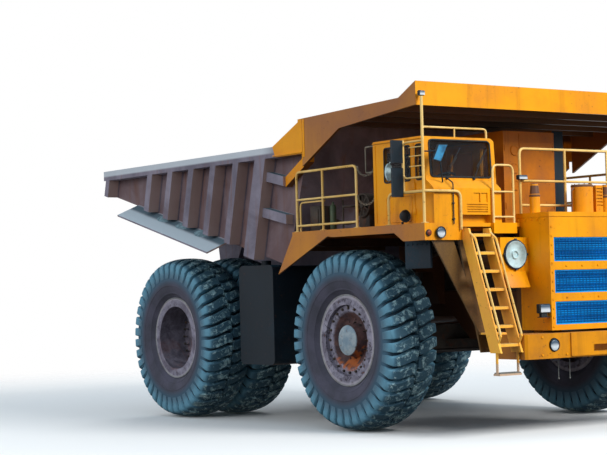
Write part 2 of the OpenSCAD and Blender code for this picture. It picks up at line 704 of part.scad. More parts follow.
module cab_seat() {
  color("#2f3338") at_rear() {
    z0 = deck_z + cab_t;
    block([cab_x0 + 350, seat_y - 150, z0], [cab_x0 + 620, seat_y + 150, z0 + 250]);
    block([cab_x0 + 240, seat_y - 270, z0 + 249], [cab_x0 + 740, seat_y + 270, z0 + 400]);
    side_slab(seat_y - 260, seat_y + 260) polygon([
      [cab_x0 + 240, z0 + 399], [cab_x0 + 400, z0 + 399], [cab_x0 + 290, z0 + 1050],
          [cab_x0 + 170, z0 + 1050]]);
    // Dashboard, steering column and wheel
    block([cab_x1 - cab_t - 300, -cab_out + cab_t, z0], [cab_x1 - cab_t, -cab_in - cab_t, z0 + 560]);
    bar([cab_x1 - 340, seat_y, z0 + 400], [cab_x1 - 480, seat_y, z0 + 640], 30);
    translate([cab_x1 - 480, seat_y, z0 + 640]) rotate([0, -30, 0]) difference() {
      cylinder(r = 240, h = 30);
      translate([0, 0, -1]) difference() {
        cylinder(r = 212, h = 32);
        block([-212, -25, -1], [212, 25, 33]);
      }
    }
  }
}
nose_x1 = deck_x1;
module cab_locker() {
  color("#f0b62e") at_rear() difference() {
    side_slab(-cab_out, -cab_in - 60) polygon([
      [cab_x1, deck_z], [nose_x1, deck_z], [nose_x1, deck_z + 550], [nose_x1 - 60, deck_z + 600],
          [cab_x1, deck_z + 690]]);
    // Foot recess over the ladder, vents and louvers
    block([nose_x1 - 120, -cab_in - 920, deck_z - 1], [nose_x1 + 1, -cab_in - 290, deck_z + 130]);
    for (i = [0 : 1])
      block([nose_x1 - 20, -cab_in - 640 + i * 155, deck_z + 330],
          [nose_x1 + 1, -cab_in - 505 + i * 155, deck_z + 480]);
    for (i = [0 : 3])
      block([nose_x1 - 20, -cab_in - 780, deck_z + 165 + i * 38],
          [nose_x1 + 1, -cab_in - 350, deck_z + 184 + i * 38]);
  }
  // Step box on the deck's front edge, beside the ladder's head
  color("#f0b62e") at_rear()
    block([nose_x1, -cab_in - 290, deck_z - 170], [nose_x1 + 70, -cab_in + 200, deck_z]);
}
// Hinged door of the cab's inboard side
module cab_door() {
  color("#e9a826") at_rear() {
    difference() {
      block([door_x0 + 2 * run_gap, -cab_in - 50, door_z0 + run_gap],
          [door_x1 - run_gap, -cab_in, door_z1 - run_gap]);
      block([door_x0 + 110, -cab_in - 51, deck_z + 700], [door_x1 - 110, -cab_in + 1, door_z1 - 100]);
    }
    // Hinge barrels with their pins' centre at the front edge, and the handle
    for (z = hinge_z) {
      translate([door_x1 - hinge_in, -cab_in + hinge_r, z]) cylinder(r = hinge_r, h = 100);
      block([door_x1 - 60, -cab_in - 1, z + 10], [door_x1 - hinge_in, -cab_in + 14, z + 90]);
    }
    block([door_x0 + 60, -cab_in - 1, deck_z + 560], [door_x0 + 180, -cab_in + 35, deck_z + 590]);
  }
}
module door_glass() {
  color("#9fc4d4") at_rear()
    block([door_x0 + 110 + seat, -cab_in - 32, deck_z + 700 + seat],
          [door_x1 - 110 - seat, -cab_in - 18, door_z1 - 100 - seat]);
}

pole_y = -cab_out - 165;
pole_x = nose_x1 - 40;
guard_x = pole_x - 500;
step_rail_x = nose_x1 + 36;
step_y0 = -cab_in - 265;
step_y1 = -cab_in + 170;
module cab_rails() {
  nose_rail_x = nose_x1 + 30;
  rail_end_y = -ladder_out - 40;
  roof_x = cab_x1 - 150;
  color("#e8d9a0") at_rear() {
    // Rail round the cab's outer front corner and across the nose, with its foot on the fascia
    rail_path([[cab_x0 + 600, pole_y, deck_z], [cab_x0 + 600, pole_y, deck_z + 500],
               [nose_rail_x, pole_y, deck_z + 500], [nose_rail_x, rail_end_y, deck_z + 500],
               [nose_rail_x, rail_end_y, deck_z - 80]]);
    block([nose_x1, rail_end_y - 12, deck_z - 110], [nose_rail_x + 20, rail_end_y + 12, deck_z - 79]);
    // Corner pole
    bar([pole_x, pole_y, deck_z], [pole_x, pole_y, cab_top + 600], tube_d / 2);
    // Rail over the step box, with its middle and low bars
    rail_path([[step_rail_x, step_y0, deck_z], [step_rail_x, step_y0, deck_z + 930],
               [step_rail_x, step_y1, deck_z + 930], [step_rail_x, step_y1, deck_z]], 20);
    for (z = [500, 95]) bar([step_rail_x, step_y0, deck_z + z], [step_rail_x, step_y1, deck_z + z], 17);
    // Loop along the roof's front edge
    rail_path([[roof_x, -cab_out + 60, cab_top], [roof_x, -cab_out + 60, cab_top + 150],
               [roof_x, -cab_in - 60, cab_top + 150], [roof_x, -cab_in - 60, cab_top]], 19);
    bar([roof_x, -(cab_out + cab_in) / 2, cab_top], [roof_x, -(cab_out + cab_in) / 2, cab_top + 155], 15);
    // Guard round the mirrors
    for (z = [720, 1290]) bar([pole_x, pole_y, deck_z + z], [guard_x, pole_y, deck_z + z], 16);
    bar([guard_x, pole_y, deck_z + 500], [guard_x, pole_y, deck_z + 1330], tube_d / 2);
  }
}
module mirrors() {
  color("#24364e") at_rear() {
    // Tall mirrors on the outer side, one over the other, on the guard's rear tube
    for (z = [[deck_z + 430, deck_z + 890], [deck_z + 970, deck_z + 1330]]) difference() {
      block([guard_x - 22, pole_y - 235, z[0]], [guard_x + 22, pole_y - tube_d / 2 - seat, z[1]]);
      block([guard_x - 23, pole_y - 220, z[0] + 15], [guard_x - 12, pole_y - 40, z[1] - 15]);
    }
    // Tilted mirror over the nose, with its two stays
    cross_slab(nose_x1 + 55, nose_x1 + 85) polygon([
      [-cab_out + 50, deck_z + 1230], [-cab_out + 245, deck_z + 1230],
      [-cab_out + 95, deck_z + 950], [-cab_out - 70, deck_z + 985]]);
    bar([nose_x1 + 70, -cab_out + 90, deck_z + 960], [nose_x1 - 110, -cab_out + 280, deck_z + 650], 12);
    stay = [nose_x1 + 70, -cab_out + 10];
    pole = [pole_x, pole_y];
    stay_end = pole + (tube_d / 2 + seat) * (stay - pole) / norm(stay - pole);
    bar([stay[0], stay[1], deck_z + 1120], [stay_end[0], stay_end[1], deck_z + 1120], 12);
  }
}

/* Things on the decks */

module cabinets() {
  // Tall duct beside it
  color("#24364e") at_rear() block([deck_x0 + 1000, 750, deck_z], [cab_x0 + 260, 1010, canopy_root_z - 260]);
  color("#d99a1c") at_rear() difference() {
    block([deck_x0 + 900, -430, deck_z], [cab_x0 + 310, 750, canopy_root_z - 300]);
    // Seam between its two doors, and their lower edge
    block([cab_x0 + 298, -72, deck_z + 120], [cab_x0 + 311, -60, canopy_root_z - 340]);
    block([cab_x0 + 298, -390, deck_z + 110], [cab_x0 + 311, 700, deck_z + 122]);
  }
}
cleaner_y = radiator_half + 300;
cleaner_z = radiator_top - 665;
module air_cleaners() {
  color("#eeb02a") at_rear() both_sides() {
    difference() {
      side_slab(radiator_half, radiator_half + 600) polygon([
        [deck_x1 + 110, cleaner_z - 275], [deck_x1 + 170, cleaner_z - 275],
        [deck_x1 + 170, cleaner_z + 275], [deck_x1 + 110, cleaner_z + 275]]);
      translate([deck_x1 + 100, cleaner_y, cleaner_z]) rotate([0, 90, 0]) cylinder(r = 180, h = 200);
    }
    side_slab(radiator_half, radiator_half + 600) polygon([
      [deck_x1 + 110, cleaner_z - 275], [deck_x1 + 170, cleaner_z - 275],
      [deck_x1 + 60, cleaner_z - 535], [deck_x1, cleaner_z - 535]]);
    difference() {
      translate([deck_x1 - 500, cleaner_y, cleaner_z]) rotate([0, 90, 0]) cylinder(r = 230, h = 610);
      translate([deck_x1 + 60, cleaner_y, cleaner_z]) rotate([0, 90, 0]) cylinder(r = 178, h = 60);
    }
    translate([deck_x1 - 100, cleaner_y, cleaner_z]) rotate([0, 90, 0]) cylinder(r = 60, h = 260);
    block([deck_x1 - 260, cleaner_y - 60, cleaner_z + 200],
        [deck_x1 - 160, cleaner_y + 60, deck_z - deck_t]);
  }
}
module deck_tanks() {
  color("#f0b62e") at_rear() {
    z = radiator_top;
    x = box_x0 + 320;
    for (y = [-1040, 560]) {
      translate([x, y, z]) cylinder(r = 85, h = 310);
      translate([x, y, z + 310]) cylinder(r1 = 76, r2 = 62, h = 160);
    }
    translate([x, 20, z]) cylinder(r = 180, h = 470);
    // Louvered stack between the tanks
    difference() {
      block([x - 60, 280, z], [x + 60, 440, z + 470]);
      for (i = [0 : 5]) block([x + 40, 292, z + 120 + i * 55], [x + 61, 428, z + 146 + i * 55]);
    }
  }
}

/* Ladders and rails */

ladder_in = bumper_half + 10;
ladder_out = ladder_in + 470;
ladder_top = [deck_x1 + 50, deck_z - 120];
ladder_head = deck_z - 90;
ladder_foot = [deck_x1 + 700, 1350];
rungs = 7;
module ladder() {
  dx = ladder_foot[0] - ladder_top[0];
  dz = ladder_top[1] - ladder_foot[1];
  for (y = [ladder_in, ladder_out - 40]) side_slab(y, y + 40) polygon([
    [deck_x1, deck_z - 260], [deck_x1, ladder_head], [deck_x1 + 145, ladder_head],
    [ladder_foot[0] + 130, ladder_foot[1]], [ladder_foot[0] - 110, ladder_foot[1]]]);
  for (i = [0 : rungs - 1]) {
    z = ladder_foot[1] + 120 + i * (dz - 200) / (rungs - 1);
    x = ladder_top[0] + dx * (ladder_top[1] - z) / dz;
    block([x - 100, ladder_in + 39, z - 25], [x + 110, ladder_out - 39, z + 15]);
  }
  // Hanging step
  for (y = [ladder_in + 10, ladder_out - 30])
    block([ladder_foot[0], y, ladder_foot[1] - 350],
        [ladder_foot[0] + 40, y + 20, ladder_foot[1] + 40]);
  block([ladder_foot[0] - 60, ladder_in + 10, ladder_foot[1] - 350],
      [ladder_foot[0] + 90, ladder_out - 10, ladder_foot[1] - 320]);
  // Braces from the deck down to a plate on the bumper, and the lug that holds the ladder's foot
  cross_slab(deck_x1 - 80, deck_x1 - 45) polygon([
    [deck_half - 60, deck_z - deck_t - seat], [deck_half - 530, deck_z - deck_t - seat],
    [bumper_half + 30, bumper_z + bumper_h], [bumper_half + 120, bumper_z + bumper_h]]);
  cross_slab(deck_x1 - 125, deck_x1 - 90) polygon([
    [ladder_out + 50, deck_z - deck_t - seat], [ladder_out - 170, deck_z - deck_t - seat],
    [bumper_half - 120, bumper_z + 100], [bumper_half + 70, bumper_z + 100]]);
  block([deck_x1 - 125, bumper_half - 160, bumper_z + bumper_h],
      [bumper_x - 600, bumper_half + 125, bumper_z + bumper_h + 30]);
  block([ladder_foot[0] - 60, bumper_half, ladder_foot[1] + 40],
      [ladder_foot[0] + 40, ladder_in + 1, ladder_foot[1] + 140]);
}
// Front edge of the ladder's sides at a height
function edge_x(z) = ladder_foot[0] + 130
  + (deck_x1 + 15 - ladder_foot[0]) * (z - ladder_foot[1]) / (ladder_head - ladder_foot[1]);
module ladder_handrails() {
  low = ladder_foot[1] + 130;
  high = deck_z - 260;
  for (y = [ladder_in + 20, ladder_out - 20])
    rail_path([[edge_x(low) - 30, y, low], [edge_x(low + 130) + 85, y, low + 130],
               [edge_x(high) + 85, y, high], [edge_x(high + 110) - 30, y, high + 110]], 17);
}
module ladders() color("#e9a826") at_rear() both_sides() {
  ladder();
  ladder_handrails();
}

// A fence along points on the deck with a top, a middle and a low rail
module fence(points, posts, heights) {
  r = tube_d / 2;
  for (h = heights) rail_path([for (p = points) [p[0], p[1], deck_z + h]]);
  for (p = posts) bar([p[0], p[1], deck_z], [p[0], p[1], deck_z + heights[0] + r * 0.5], r);
}
fence_y = deck_half - 60;
module deck_rails() {
  color("#e8d9a0") at_rear() for (s = [-1, 1])
    fence([[deck_x0 + 80, s * fence_y], [cab_x0 - 290, s * fence_y]],
          [[deck_x0 + 80, s * fence_y], [deck_x0 + 850, s * fence_y], [cab_x0 - 290, s * fence_y]],
              [1030, 550, 100]);
  // Rail across the front, with the far ladder's gap, and on round the far side
  color("#e8d9a0") at_rear() {
    front = box_x0 - 30;
    edge = deck_x1 - 60;
    fence([[front, -1030], [front, ladder_in - 60], [edge, ladder_in - 60]],
          [[front, -1030], [front, -20], [front, 960], [edge, ladder_in - 60]], [1230, 700, 300]);
    fence([[edge, ladder_out + 60], [edge, fence_y], [cab_x0 + 410, fence_y]],
          [[edge, ladder_out + 60], [edge, fence_y], [cab_x0 + 1000, fence_y], [cab_x0 + 410, fence_y]],
          [1230, 700, 300]);
  }
}

// Slack chains across the gap between the rear rail and the cab, swept along a hanging curve
chain_r = 12;
module hanging(a, b) {
  d = b - a;
  translate((a + b) / 2) rotate([0, 0, atan2(d[1], d[0])]) rotate([-90, 0, 0])
    rotate_extrude(angle = 180) translate([norm(d) / 2, 0]) circle(r = chain_r, $fn = 16);
}
module gate_chains() {
  color("#8f8a78") at_rear() for (h = [1000, 520]) {
    a = [cab_x0 - 290 + tube_d / 2 + seat, -fence_y, deck_z + h];
    b = [cab_x0 - seat, -cab_out + 30, deck_z + h];
    bar(a, a + [40, 0, 0], chain_r + 3);
    bar(b - [40, 0, 0], b, chain_r + 3);
    hanging(a + [20, 0, 0], b - [20, 0, 0]);
  }
}

module lamp(x, y, z, r) translate([x, y, z]) rotate([0, 90, 0]) cylinder(r = r, h = 50);
module lamps() {
  color("#dfeef2") at_rear() {
    both_sides() {
      lamp(bumper_x - 80 + seat, lamp_y, lamp_z, 110);
      lamp(deck_x1, deck_half - 310, deck_z - 145, 100);
      lamp(deck_x1, deck_half - 70, deck_z - 155, 50);
    }
    both_sides() block([box_x1 - 200, radiator_half, 1990], [box_x1 - 100, radiator_half + 260, 2130]);
    // Work lamps: at the end of the front rail, and on top of the corner pole
    block([box_x0 - 30 + tube_d / 2 + seat, -1140, deck_z + 715], [box_x0 + 80, -950, deck_z + 790]);
    block([pole_x - 40, pole_y - 60, cab_top + 600 + seat], [pole_x + 40, pole_y + 60, cab_top + 690]);
  }
}

/* Load body */

rail_h = 190;
wall_lean = 0.327;
wall_top = canopy_root_z - 60;
wall_x1 = foot_x + (wall_top - foot_z) * wall_lean;
module tub_outline() polygon([
  [foot_x, foot_z], [wall_x1, wall_top], [foot_x - 60, rail_top], [tail_x, rail_top],
      [tail_x, floor_z(tail_x)]]);
// A rib on the side, drawn about the foot of its centre line on the floor's edge
module rib(x, w, foot) {
  lean = tan(floor_slope);
  z0 = floor_z(x) - foot;
  top = rail_top - rail_h;
  side_slab(tub_half - 1, tub_half + rib_out) polygon([
    [x - w / 2, z0 + (w / 2) * slope_t], [x + w / 2, z0 - (w / 2) * slope_t],
    [x + w / 2 + (top - z0) * lean, top + 1], [x - w / 2 + (top - z0) * lean, top + 1]]);
}
module body_tub() {
  color("#6f6763") at_rear() {
    difference() {
      side_slab(-tub_half, tub_half) tub_outline();
      side_slab(-tub_half + wall, tub_half - wall) polygon([
        [foot_x - wall, floor_z(foot_x) + wall * 1.1], [wall_x1 - wall, wall_top + 1],
        [tail_x - 1, wall_top + 1], [tail_x - 1, floor_z(tail_x - 1) + wall * 1.1]]);
    }
    both_sides() {
      // Top rail
      side_slab(tub_half - 1, body_out) polygon([
        [tail_x, rail_top - rail_h], [foot_x + 20, rail_top - rail_h], [foot_x - 60, rail_top],
            [tail_x, rail_top]]);
      for (i = [0 : ribs - 1]) rib(2050 - i * rib_pitch, rib_w, -40);
      rib(2780, 340, 60);
      rib(tail_x + 80, 150, -10);
      // Short ribs between the last rib and the front edge: x0, z0, x1, z1
      for (s = [[3150, wall_top - 820, foot_x + 145, wall_top - 967],
                [3000, wall_top - 1450, foot_x + 210, wall_top - 1640]])
        side_slab(tub_half - 1, tub_half + rib_out * 0.7) polygon([
          [s[0], s[1] - 85], [s[2], s[3] - 85], [s[2], s[3] + 85], [s[0], s[1] + 85]]);
    }
  }
}
beam_gap = 2 * run_gap;
// Upper edge of what is welded on below the floor
function under_floor(x) = floor_z(x) - seat;
module body_beams() {
  color("#5d5653") at_rear() both_sides() {
    // Long beams that rest over the frame rails
    side_slab(rail_in + 40, rail_out - 40) polygon([
      [3350, under_floor(3350)], [3350, rail_shape[6][2] + 2 * beam_gap],
      [rail_shape[6][0], rail_shape[6][2] + beam_gap], [rail_shape[7][0], rail_shape[7][2] + beam_gap],
      [pivot_x + 250, rail_shape[8][2] + 1.5 * beam_gap], [pivot_x + 250, under_floor(pivot_x + 250)]]);
    // Ears on the pivot
    difference() {
      side_slab(ear_in, ear_out) union() {
        translate([pivot_x, pivot_z]) circle(r = pivot_d / 2 + 120);
        polygon([[pivot_x - pivot_d / 2 - 118, pivot_z], [pivot_x + pivot_d / 2 + 118, pivot_z],
                 [pivot_x + 900, under_floor(pivot_x + 900)],
                     [pivot_x - 500, under_floor(pivot_x - 500)]]);
      }
      y_bar(pivot_x, pivot_z, pivot_d / 2 + pin_play, ear_in - 1, ear_out + 1);
    }
    // Cheeks and pin of the hoist's upper eye
    for (y = [hoist_y - 110, hoist_y + 70]) side_slab(y, y + 40) polygon([
      [eye_x - 330, under_floor(eye_x - 330)], [eye_x - 90, eye_z - 60], [eye_x + 90, eye_z - 60],
      [eye_x + 330, under_floor(eye_x + 330)]]);
    y_bar(eye_x, eye_z, 50, hoist_y - 71, hoist_y + 71);
  }
}
module body_wings() {
  color("#7d7a78") at_rear() both_sides() {
    // Plate that sheds spill over the rear wheels, thin and sloped outwards
    intersection() {
      side_slab(tub_half, tub_half + 500) polygon([
        [1760, floor_z(1760) - 235], [1760, floor_z(1760) + 60], [-1640, floor_z(-1640) + 60],
            [-1640, floor_z(-1640) - 235]]);
      wing_plane();
    }
  }
}
module wing_plane() {
  // Thick sheet that falls towards its outer edge along the floor's own slope
  multmatrix([[1, 0, 0, 0], [0, 1, 0, 0], [-slope_t, -0.42, 1, floor_z(0) + 0.42 * tub_half],
      [0, 0, 0, 1]])
    translate([-3000, tub_half, 0]) cube([6000, 600, 30]);
}
canopy_x1 = fx + canopy_reach;
module canopy() {
  color("#f0b02a") at_rear() {
    // Roof with its turned-up front
    side_slab(-body_out, body_out) polygon([
      [wall_x1 - wall, wall_top], [wall_x1 + 20, wall_top], [canopy_x1 - 420, canopy_top - 290],
      [canopy_x1 - 60, canopy_top - 80], [canopy_x1 - 60, canopy_top - 380],
          [canopy_x1, canopy_top - 380],
      [canopy_x1, canopy_top], [canopy_x1 - 440, canopy_top - 225], [wall_x1 - wall, canopy_root_z]]);
    both_sides() {
      // Cheek from the body's side up to the roof
      side_slab(tub_half, body_out) polygon([
        [foot_x - 60, rail_top], [foot_x + 25, rail_top - rail_h], [wall_x1 + 60, rail_top - rail_h],
        [wall_x1 + 60, wall_top + 10], [wall_x1 - wall, wall_top + 10]]);
      // Brace from the cheek's foot down to the upper short rib
      side_slab(tub_half, tub_half + 130) polygon([
        [foot_x + 155, canopy_root_low - 125], [wall_x1 + 60, canopy_root_low + 265],
        [wall_x1 + 60, canopy_root_low + 90], [foot_x + 155, canopy_root_low - 300]]);
      // Skirt along the roof's side
      side_slab(body_out - 50, body_out) polygon([
        [wall_x1 + 59, canopy_root_low + 10], [fx + 330, canopy_top - 560],
            [canopy_x1 - 59, canopy_top - 380],
        [canopy_x1 - 59, canopy_top - 80], [canopy_x1 - 440, canopy_top - 250],
            [wall_x1 + 59, wall_top + 30]]);
    }
    // Ribs under the roof
    for (i = [1 : 4]) {
      x = wall_x1 + i * (canopy_x1 - wall_x1) / 5;
      z = wall_top + (x - wall_x1) * 70 / (canopy_x1 - 440 - wall_x1);
      block([x - 40, -body_out + 49, z - 120], [x + 40, body_out - 49, z + 12]);
    }
  }
}

/* Hoists, drawn along +Z from the lower pin and leaned to the upper one */

hoist_len = norm([eye_x - hoist_x, eye_z - hoist_z]);
hoist_lean = atan2(eye_x - hoist_x, eye_z - hoist_z);
stage_d = barrel_d - 56;
rod_d = stage_d - 56;
module at_hoist(side) at_rear() translate([hoist_x, side * hoist_y, hoist_z])
    rotate([0, hoist_lean, 0]) children();
module hoist_barrel(side) {
  color("#8a8f90") at_hoist(side) difference() {
    union() {
      translate([0, 0, 80]) cylinder(r = barrel_d / 2, h = hoist_len - 255);
      rotate([90, 0, 0]) translate([0, 0, -90]) cylinder(r = 120, h = 180);
      translate([-90, -90, 0]) cube([180, 180, 82]);
    }
    translate([0, 0, 100]) cylinder(r = stage_d / 2 + pin_play, h = hoist_len);
    rotate([90, 0, 0]) translate([0, 0, -200]) cylinder(r = 60 + pin_play, h = 400);
  }
}
module hoist_stage(side) {
  color("#b8bcbc") at_hoist(side) translate([0, 0, 104]) difference() {
    cylinder(r = stage_d / 2, h = hoist_len - 104 - 170);
    translate([0, 0, 20]) cylinder(r = rod_d / 2 + pin_play, h = hoist_len);
  }
}
module hoist_rod(side) {
  color("#d5d8d8") at_hoist(side) difference() {
    union() {
      translate([0, 0, 128]) cylinder(r = rod_d / 2, h = hoist_len - 128 - 200);
      translate([-75, -62, hoist_len - 201]) cube([150, 124, 100]);
      translate([0, 0, hoist_len]) rotate([90, 0, 0]) translate([0, 0, -62]) cylinder(r = 150, h = 124);
    }
    translate([0, 0, hoist_len]) rotate([90, 0, 0]) translate([0, 0, -100]) cylinder(r = 100, h = 200);
  }
}
module hoist_barrel_left() hoist_barrel(1);
module hoist_barrel_right() hoist_barrel(-1);
module hoist_stage_left() hoist_stage(1);
module hoist_stage_right() hoist_stage(-1);
module hoist_rod_left() hoist_rod(1);
module hoist_rod_right() hoist_rod(-1);

frame();
deck_frame();
engine();
front_axle();
rear_axle();
struts();
side_tanks();
radiator_box();
grilles();
bumper();
tow_lugs();
side_decks();
deck_middle();
cab_shell();
cab_glass();
cab_seat();
cab_locker();
cab_rails();
mirrors();
cabinets();
air_cleaners();
deck_tanks();
ladders();
deck_rails();
gate_chains();
lamps();
cab_door();
door_glass();
knuckle_left();
knuckle_right();
tie_rod();
front_rim_left();
front_rim_right();
front_tyre_left();
front_tyre_right();
rear_rims_left();
rear_rims_right();
rear_tyres_left();
rear_tyres_right();
body_tub();
body_beams();
body_wings();
canopy();
hoist_barrel_left();
hoist_barrel_right();
hoist_stage_left();
hoist_stage_right();
hoist_rod_left();
hoist_rod_right();
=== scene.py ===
# %% [markdown]
# # A rigid mining dump truck
# The truck's exact solids come in as a fixed frame, in metres: X points ahead, Y to the truck's left
# and Z up, with the origin on the ground below the middle. This cell loads them and keeps their box.

# %% Load the frame
import bpy
import json
import math
from mathutils import Matrix, Vector


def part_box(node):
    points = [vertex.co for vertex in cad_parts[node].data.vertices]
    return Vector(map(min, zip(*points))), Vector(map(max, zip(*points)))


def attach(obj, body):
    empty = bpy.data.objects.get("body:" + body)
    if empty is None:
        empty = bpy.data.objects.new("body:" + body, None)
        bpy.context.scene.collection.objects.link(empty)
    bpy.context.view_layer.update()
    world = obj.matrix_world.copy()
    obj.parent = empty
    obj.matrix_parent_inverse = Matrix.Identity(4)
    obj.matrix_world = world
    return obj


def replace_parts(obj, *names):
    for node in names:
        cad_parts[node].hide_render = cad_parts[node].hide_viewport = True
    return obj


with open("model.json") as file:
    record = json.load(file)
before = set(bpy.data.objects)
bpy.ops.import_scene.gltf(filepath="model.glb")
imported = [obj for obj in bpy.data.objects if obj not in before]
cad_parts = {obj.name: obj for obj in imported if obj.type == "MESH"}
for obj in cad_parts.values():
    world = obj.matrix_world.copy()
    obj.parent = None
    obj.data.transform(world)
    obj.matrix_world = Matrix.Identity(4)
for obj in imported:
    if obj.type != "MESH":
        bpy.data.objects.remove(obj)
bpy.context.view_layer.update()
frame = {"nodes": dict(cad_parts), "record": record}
nodes = frame["nodes"]

# %% [markdown]
# A truck is measured from its rear axle, so that is where X starts here. Y counts from the middle and
# Z from the ground. `settle`, below, moves each finished piece by REAR_X into the shared frame.

# %% Sizes that many pieces use
REAR_X = -3.045
WHEELBASE = 5.3
AXLE_Z = 1.53
TYRE_R = 1.53
LUGS = 40
DECK_Z = 3.4
FENCE_Y = 3.14
LADDER_Y = 2.205
CAB_RAIL_Y = -3.165
SIDES = (-1, 1)  # the truck's right, then its left
WHEELS = [  # name, X, Y and the body that it turns with
    ("front_left", WHEELBASE, 2.56, "front_wheel_left"), ("front_right", WHEELBASE, -2.56, "front_wheel_right"),
    ("rear_left_out", 0, 2.775, "rear_wheels_left"), ("rear_left_in", 0, 1.745, "rear_wheels_left"),
    ("rear_right_in", 0, -1.745, "rear_wheels_right"), ("rear_right_out", 0, -2.775, "rear_wheels_right"),
]

# %% [markdown]
# Modelling goes as it would by hand: start from a simple form, shape it in edit mode, finish it with
# modifiers. These helpers hold the steps that every piece repeats. `settle` joins a piece's parts,
# gives them a finish and a body, and bakes their place, so that the piece moves with the truck.

# %% Helpers for making and placing pieces
mesh, ops = bpy.ops.mesh, bpy.ops.object


def clear():
    if bpy.context.object and bpy.context.object.mode != "OBJECT":
        ops.mode_set(mode="OBJECT")
    ops.select_all(action="DESELECT")


def pick(*pieces):
    clear()
    for piece in pieces:
        piece.select_set(True)
    bpy.context.view_layer.objects.active = pieces[-1]


def drop(*pieces):
    pick(*pieces)
    ops.delete()


def bake_place(piece):
    pick(piece)
    ops.transform_apply(location=True, rotation=True, scale=True)


def modify(piece, kind, **settings):
    pick(piece)
    m = piece.modifiers.new(kind.title(), kind)
    for key, value in settings.items():
        setattr(m, key, value)
    ops.modifier_apply(modifier=m.name)


def soften(piece, width):
    modify(piece, "BEVEL", width=width, segments=2, limit_method="ANGLE", angle_limit=math.radians(35))


def edit(piece, *steps):
    pick(piece)
    ops.mode_set(mode="EDIT")
    for step in (*steps, lambda: mesh.normals_make_consistent(inside=False)):
        mesh.select_all(action="SELECT")
        step()
    ops.mode_set(mode="OBJECT")
    return piece


def join(pieces):
    pick(*pieces)
    if len(pieces) > 1:
        ops.join()
    return bpy.context.object


def copy_of(piece, place):
    twin = piece.copy()
    twin.data = piece.data.copy()
    bpy.context.collection.objects.link(twin)
    twin.matrix_world = place @ piece.matrix_world
    bake_place(twin)
    return twin


def settle(parts, name, finish, body="chassis", smooth=35):
    piece = join(parts)
    piece.location.x += REAR_X
    bake_place(piece)
    piece.name = piece.data.name = name
    if smooth:
        ops.shade_smooth_by_angle(angle=math.radians(smooth))
    piece.data.materials.clear()
    piece.data.materials.append(finish)
    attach(piece, body)
    return piece


# %% [markdown]
# Four starting forms cover most of the truck's fittings: a block, a plate cut to an outline, a turned
# part and a bent tube. A bend is cut into short chords, which read as a bend once shaded smooth.

# %% Starting forms
def block(low, high, bevel=0.006):
    clear()
    low, high = Vector([min(p) for p in zip(low, high)]), Vector([max(p) for p in zip(low, high)])
    mesh.primitive_cube_add(size=1, location=(low + high) / 2)
    piece = bpy.context.object
    piece.scale = high - low
    bake_place(piece)
    if bevel:
        soften(piece, bevel)
    return piece


# These two give the points of a flat outline the one coordinate that they share
def on_x(x, *points):
    return [(x, y, z) for y, z in points]


def on_y(y, *points):
    return [(x, y, z) for x, z in points]


def wire(points, closed=False):
    clear()
    bpy.ops.curve.primitive_bezier_curve_add(location=(0, 0, 0))
    piece = bpy.context.object
    piece.data.splines.clear()
    line = piece.data.splines.new("POLY")
    line.points.add(len(points) - 1)
    for p, v in zip(line.points, points):
        p.co = (*v, 1)
    line.use_cyclic_u = closed
    return piece


def to_mesh(piece):
    pick(piece)
    ops.convert(target="MESH")
    return bpy.context.object


CHORDS = 6  # short chords in each bend of a tube


def rounded_path(points, radius):
    points = [Vector(p) for p in points]
    path = [points[0]]
    for a, b, c in zip(points, points[1:], points[2:]):
        r = min(radius, (a - b).length * 0.45, (c - b).length * 0.45)
        start, end = b + (a - b).normalized() * r, b + (c - b).normalized() * r
        for i in range(CHORDS + 1):
            t = i / CHORDS
            path.append(start * (1 - t) ** 2 + b * 2 * t * (1 - t) + end * t ** 2)
    return path + [points[-1]]


def bent_bar(path, r, sides, closed):
    piece = wire(path, closed)
    piece.data.dimensions = "3D"
    piece.data.bevel_depth = r
    piece.data.bevel_resolution = sides
    piece.data.use_fill_caps = not closed
    return to_mesh(piece)


def tube(points, r, bend=0.09):
    return bent_bar(rounded_path(points, bend) if len(points) > 2 else points, r, 3, False)


def ring_tube(points, r, bend, sides=2):
    points = [Vector(p) for p in points]
    middle = (points[-1] + points[0]) / 2
    return bent_bar(rounded_path([middle, *points, middle], bend)[:-1], r, sides, True)


def plate(outline, push):
    return edit(to_mesh(wire(outline, closed=True)), lambda: mesh.remove_doubles(threshold=0.0001),
                mesh.edge_face_add, lambda: mesh.extrude_region_move(TRANSFORM_OT_translate={"value": push}))


# Turned about `axis` through `centre`: profile points are (radius, place along the axis)
def turned(profile, centre, steps, axis="Y"):
    piece = edit(to_mesh(wire([(0, y, r) for r, y in profile])),
                 lambda: mesh.spin(steps=steps, angle=math.tau, center=(0, 0, 0), axis=(0, 1, 0)),
                 lambda: mesh.remove_doubles(threshold=0.0004))
    turn = {"Y": Matrix(), "X": Matrix.Rotation(-math.pi / 2, 4, "Z"), "Z": Matrix.Rotation(math.pi / 2, 4, "X")}
    piece.matrix_world = Matrix.Translation(centre) @ turn[axis]
    bake_place(piece)
    return piece


# %% [markdown]
# Repeats are made once and arrayed, as a fabricator drills a bolt circle from one template. `around`
# turns copies about an axis, `row` sets them along a line, and `loft` skins a form through rings.

# %% Arrays and lofts
def around(piece, count, centre=(0, 0, 0), axis="Y"):
    bake_place(piece)
    clear()
    ops.empty_add()
    pivot = bpy.context.object
    move = Matrix.Translation(centre)
    pivot.matrix_world = move @ Matrix.Rotation(math.tau / count, 4, axis) @ move.inverted()
    modify(piece, "ARRAY", use_relative_offset=False, use_object_offset=True, offset_object=pivot, count=count)
    drop(pivot)
    return piece


def row(piece, count, step):
    modify(piece, "ARRAY", count=count, use_relative_offset=False, use_constant_offset=True,
           constant_offset_displace=step)
    return piece


def loft(rings):
    return edit(to_mesh(join([wire(ring, closed=True) for ring in rings])),
                mesh.bridge_edge_loops, lambda: mesh.fill_holes(sides=0))


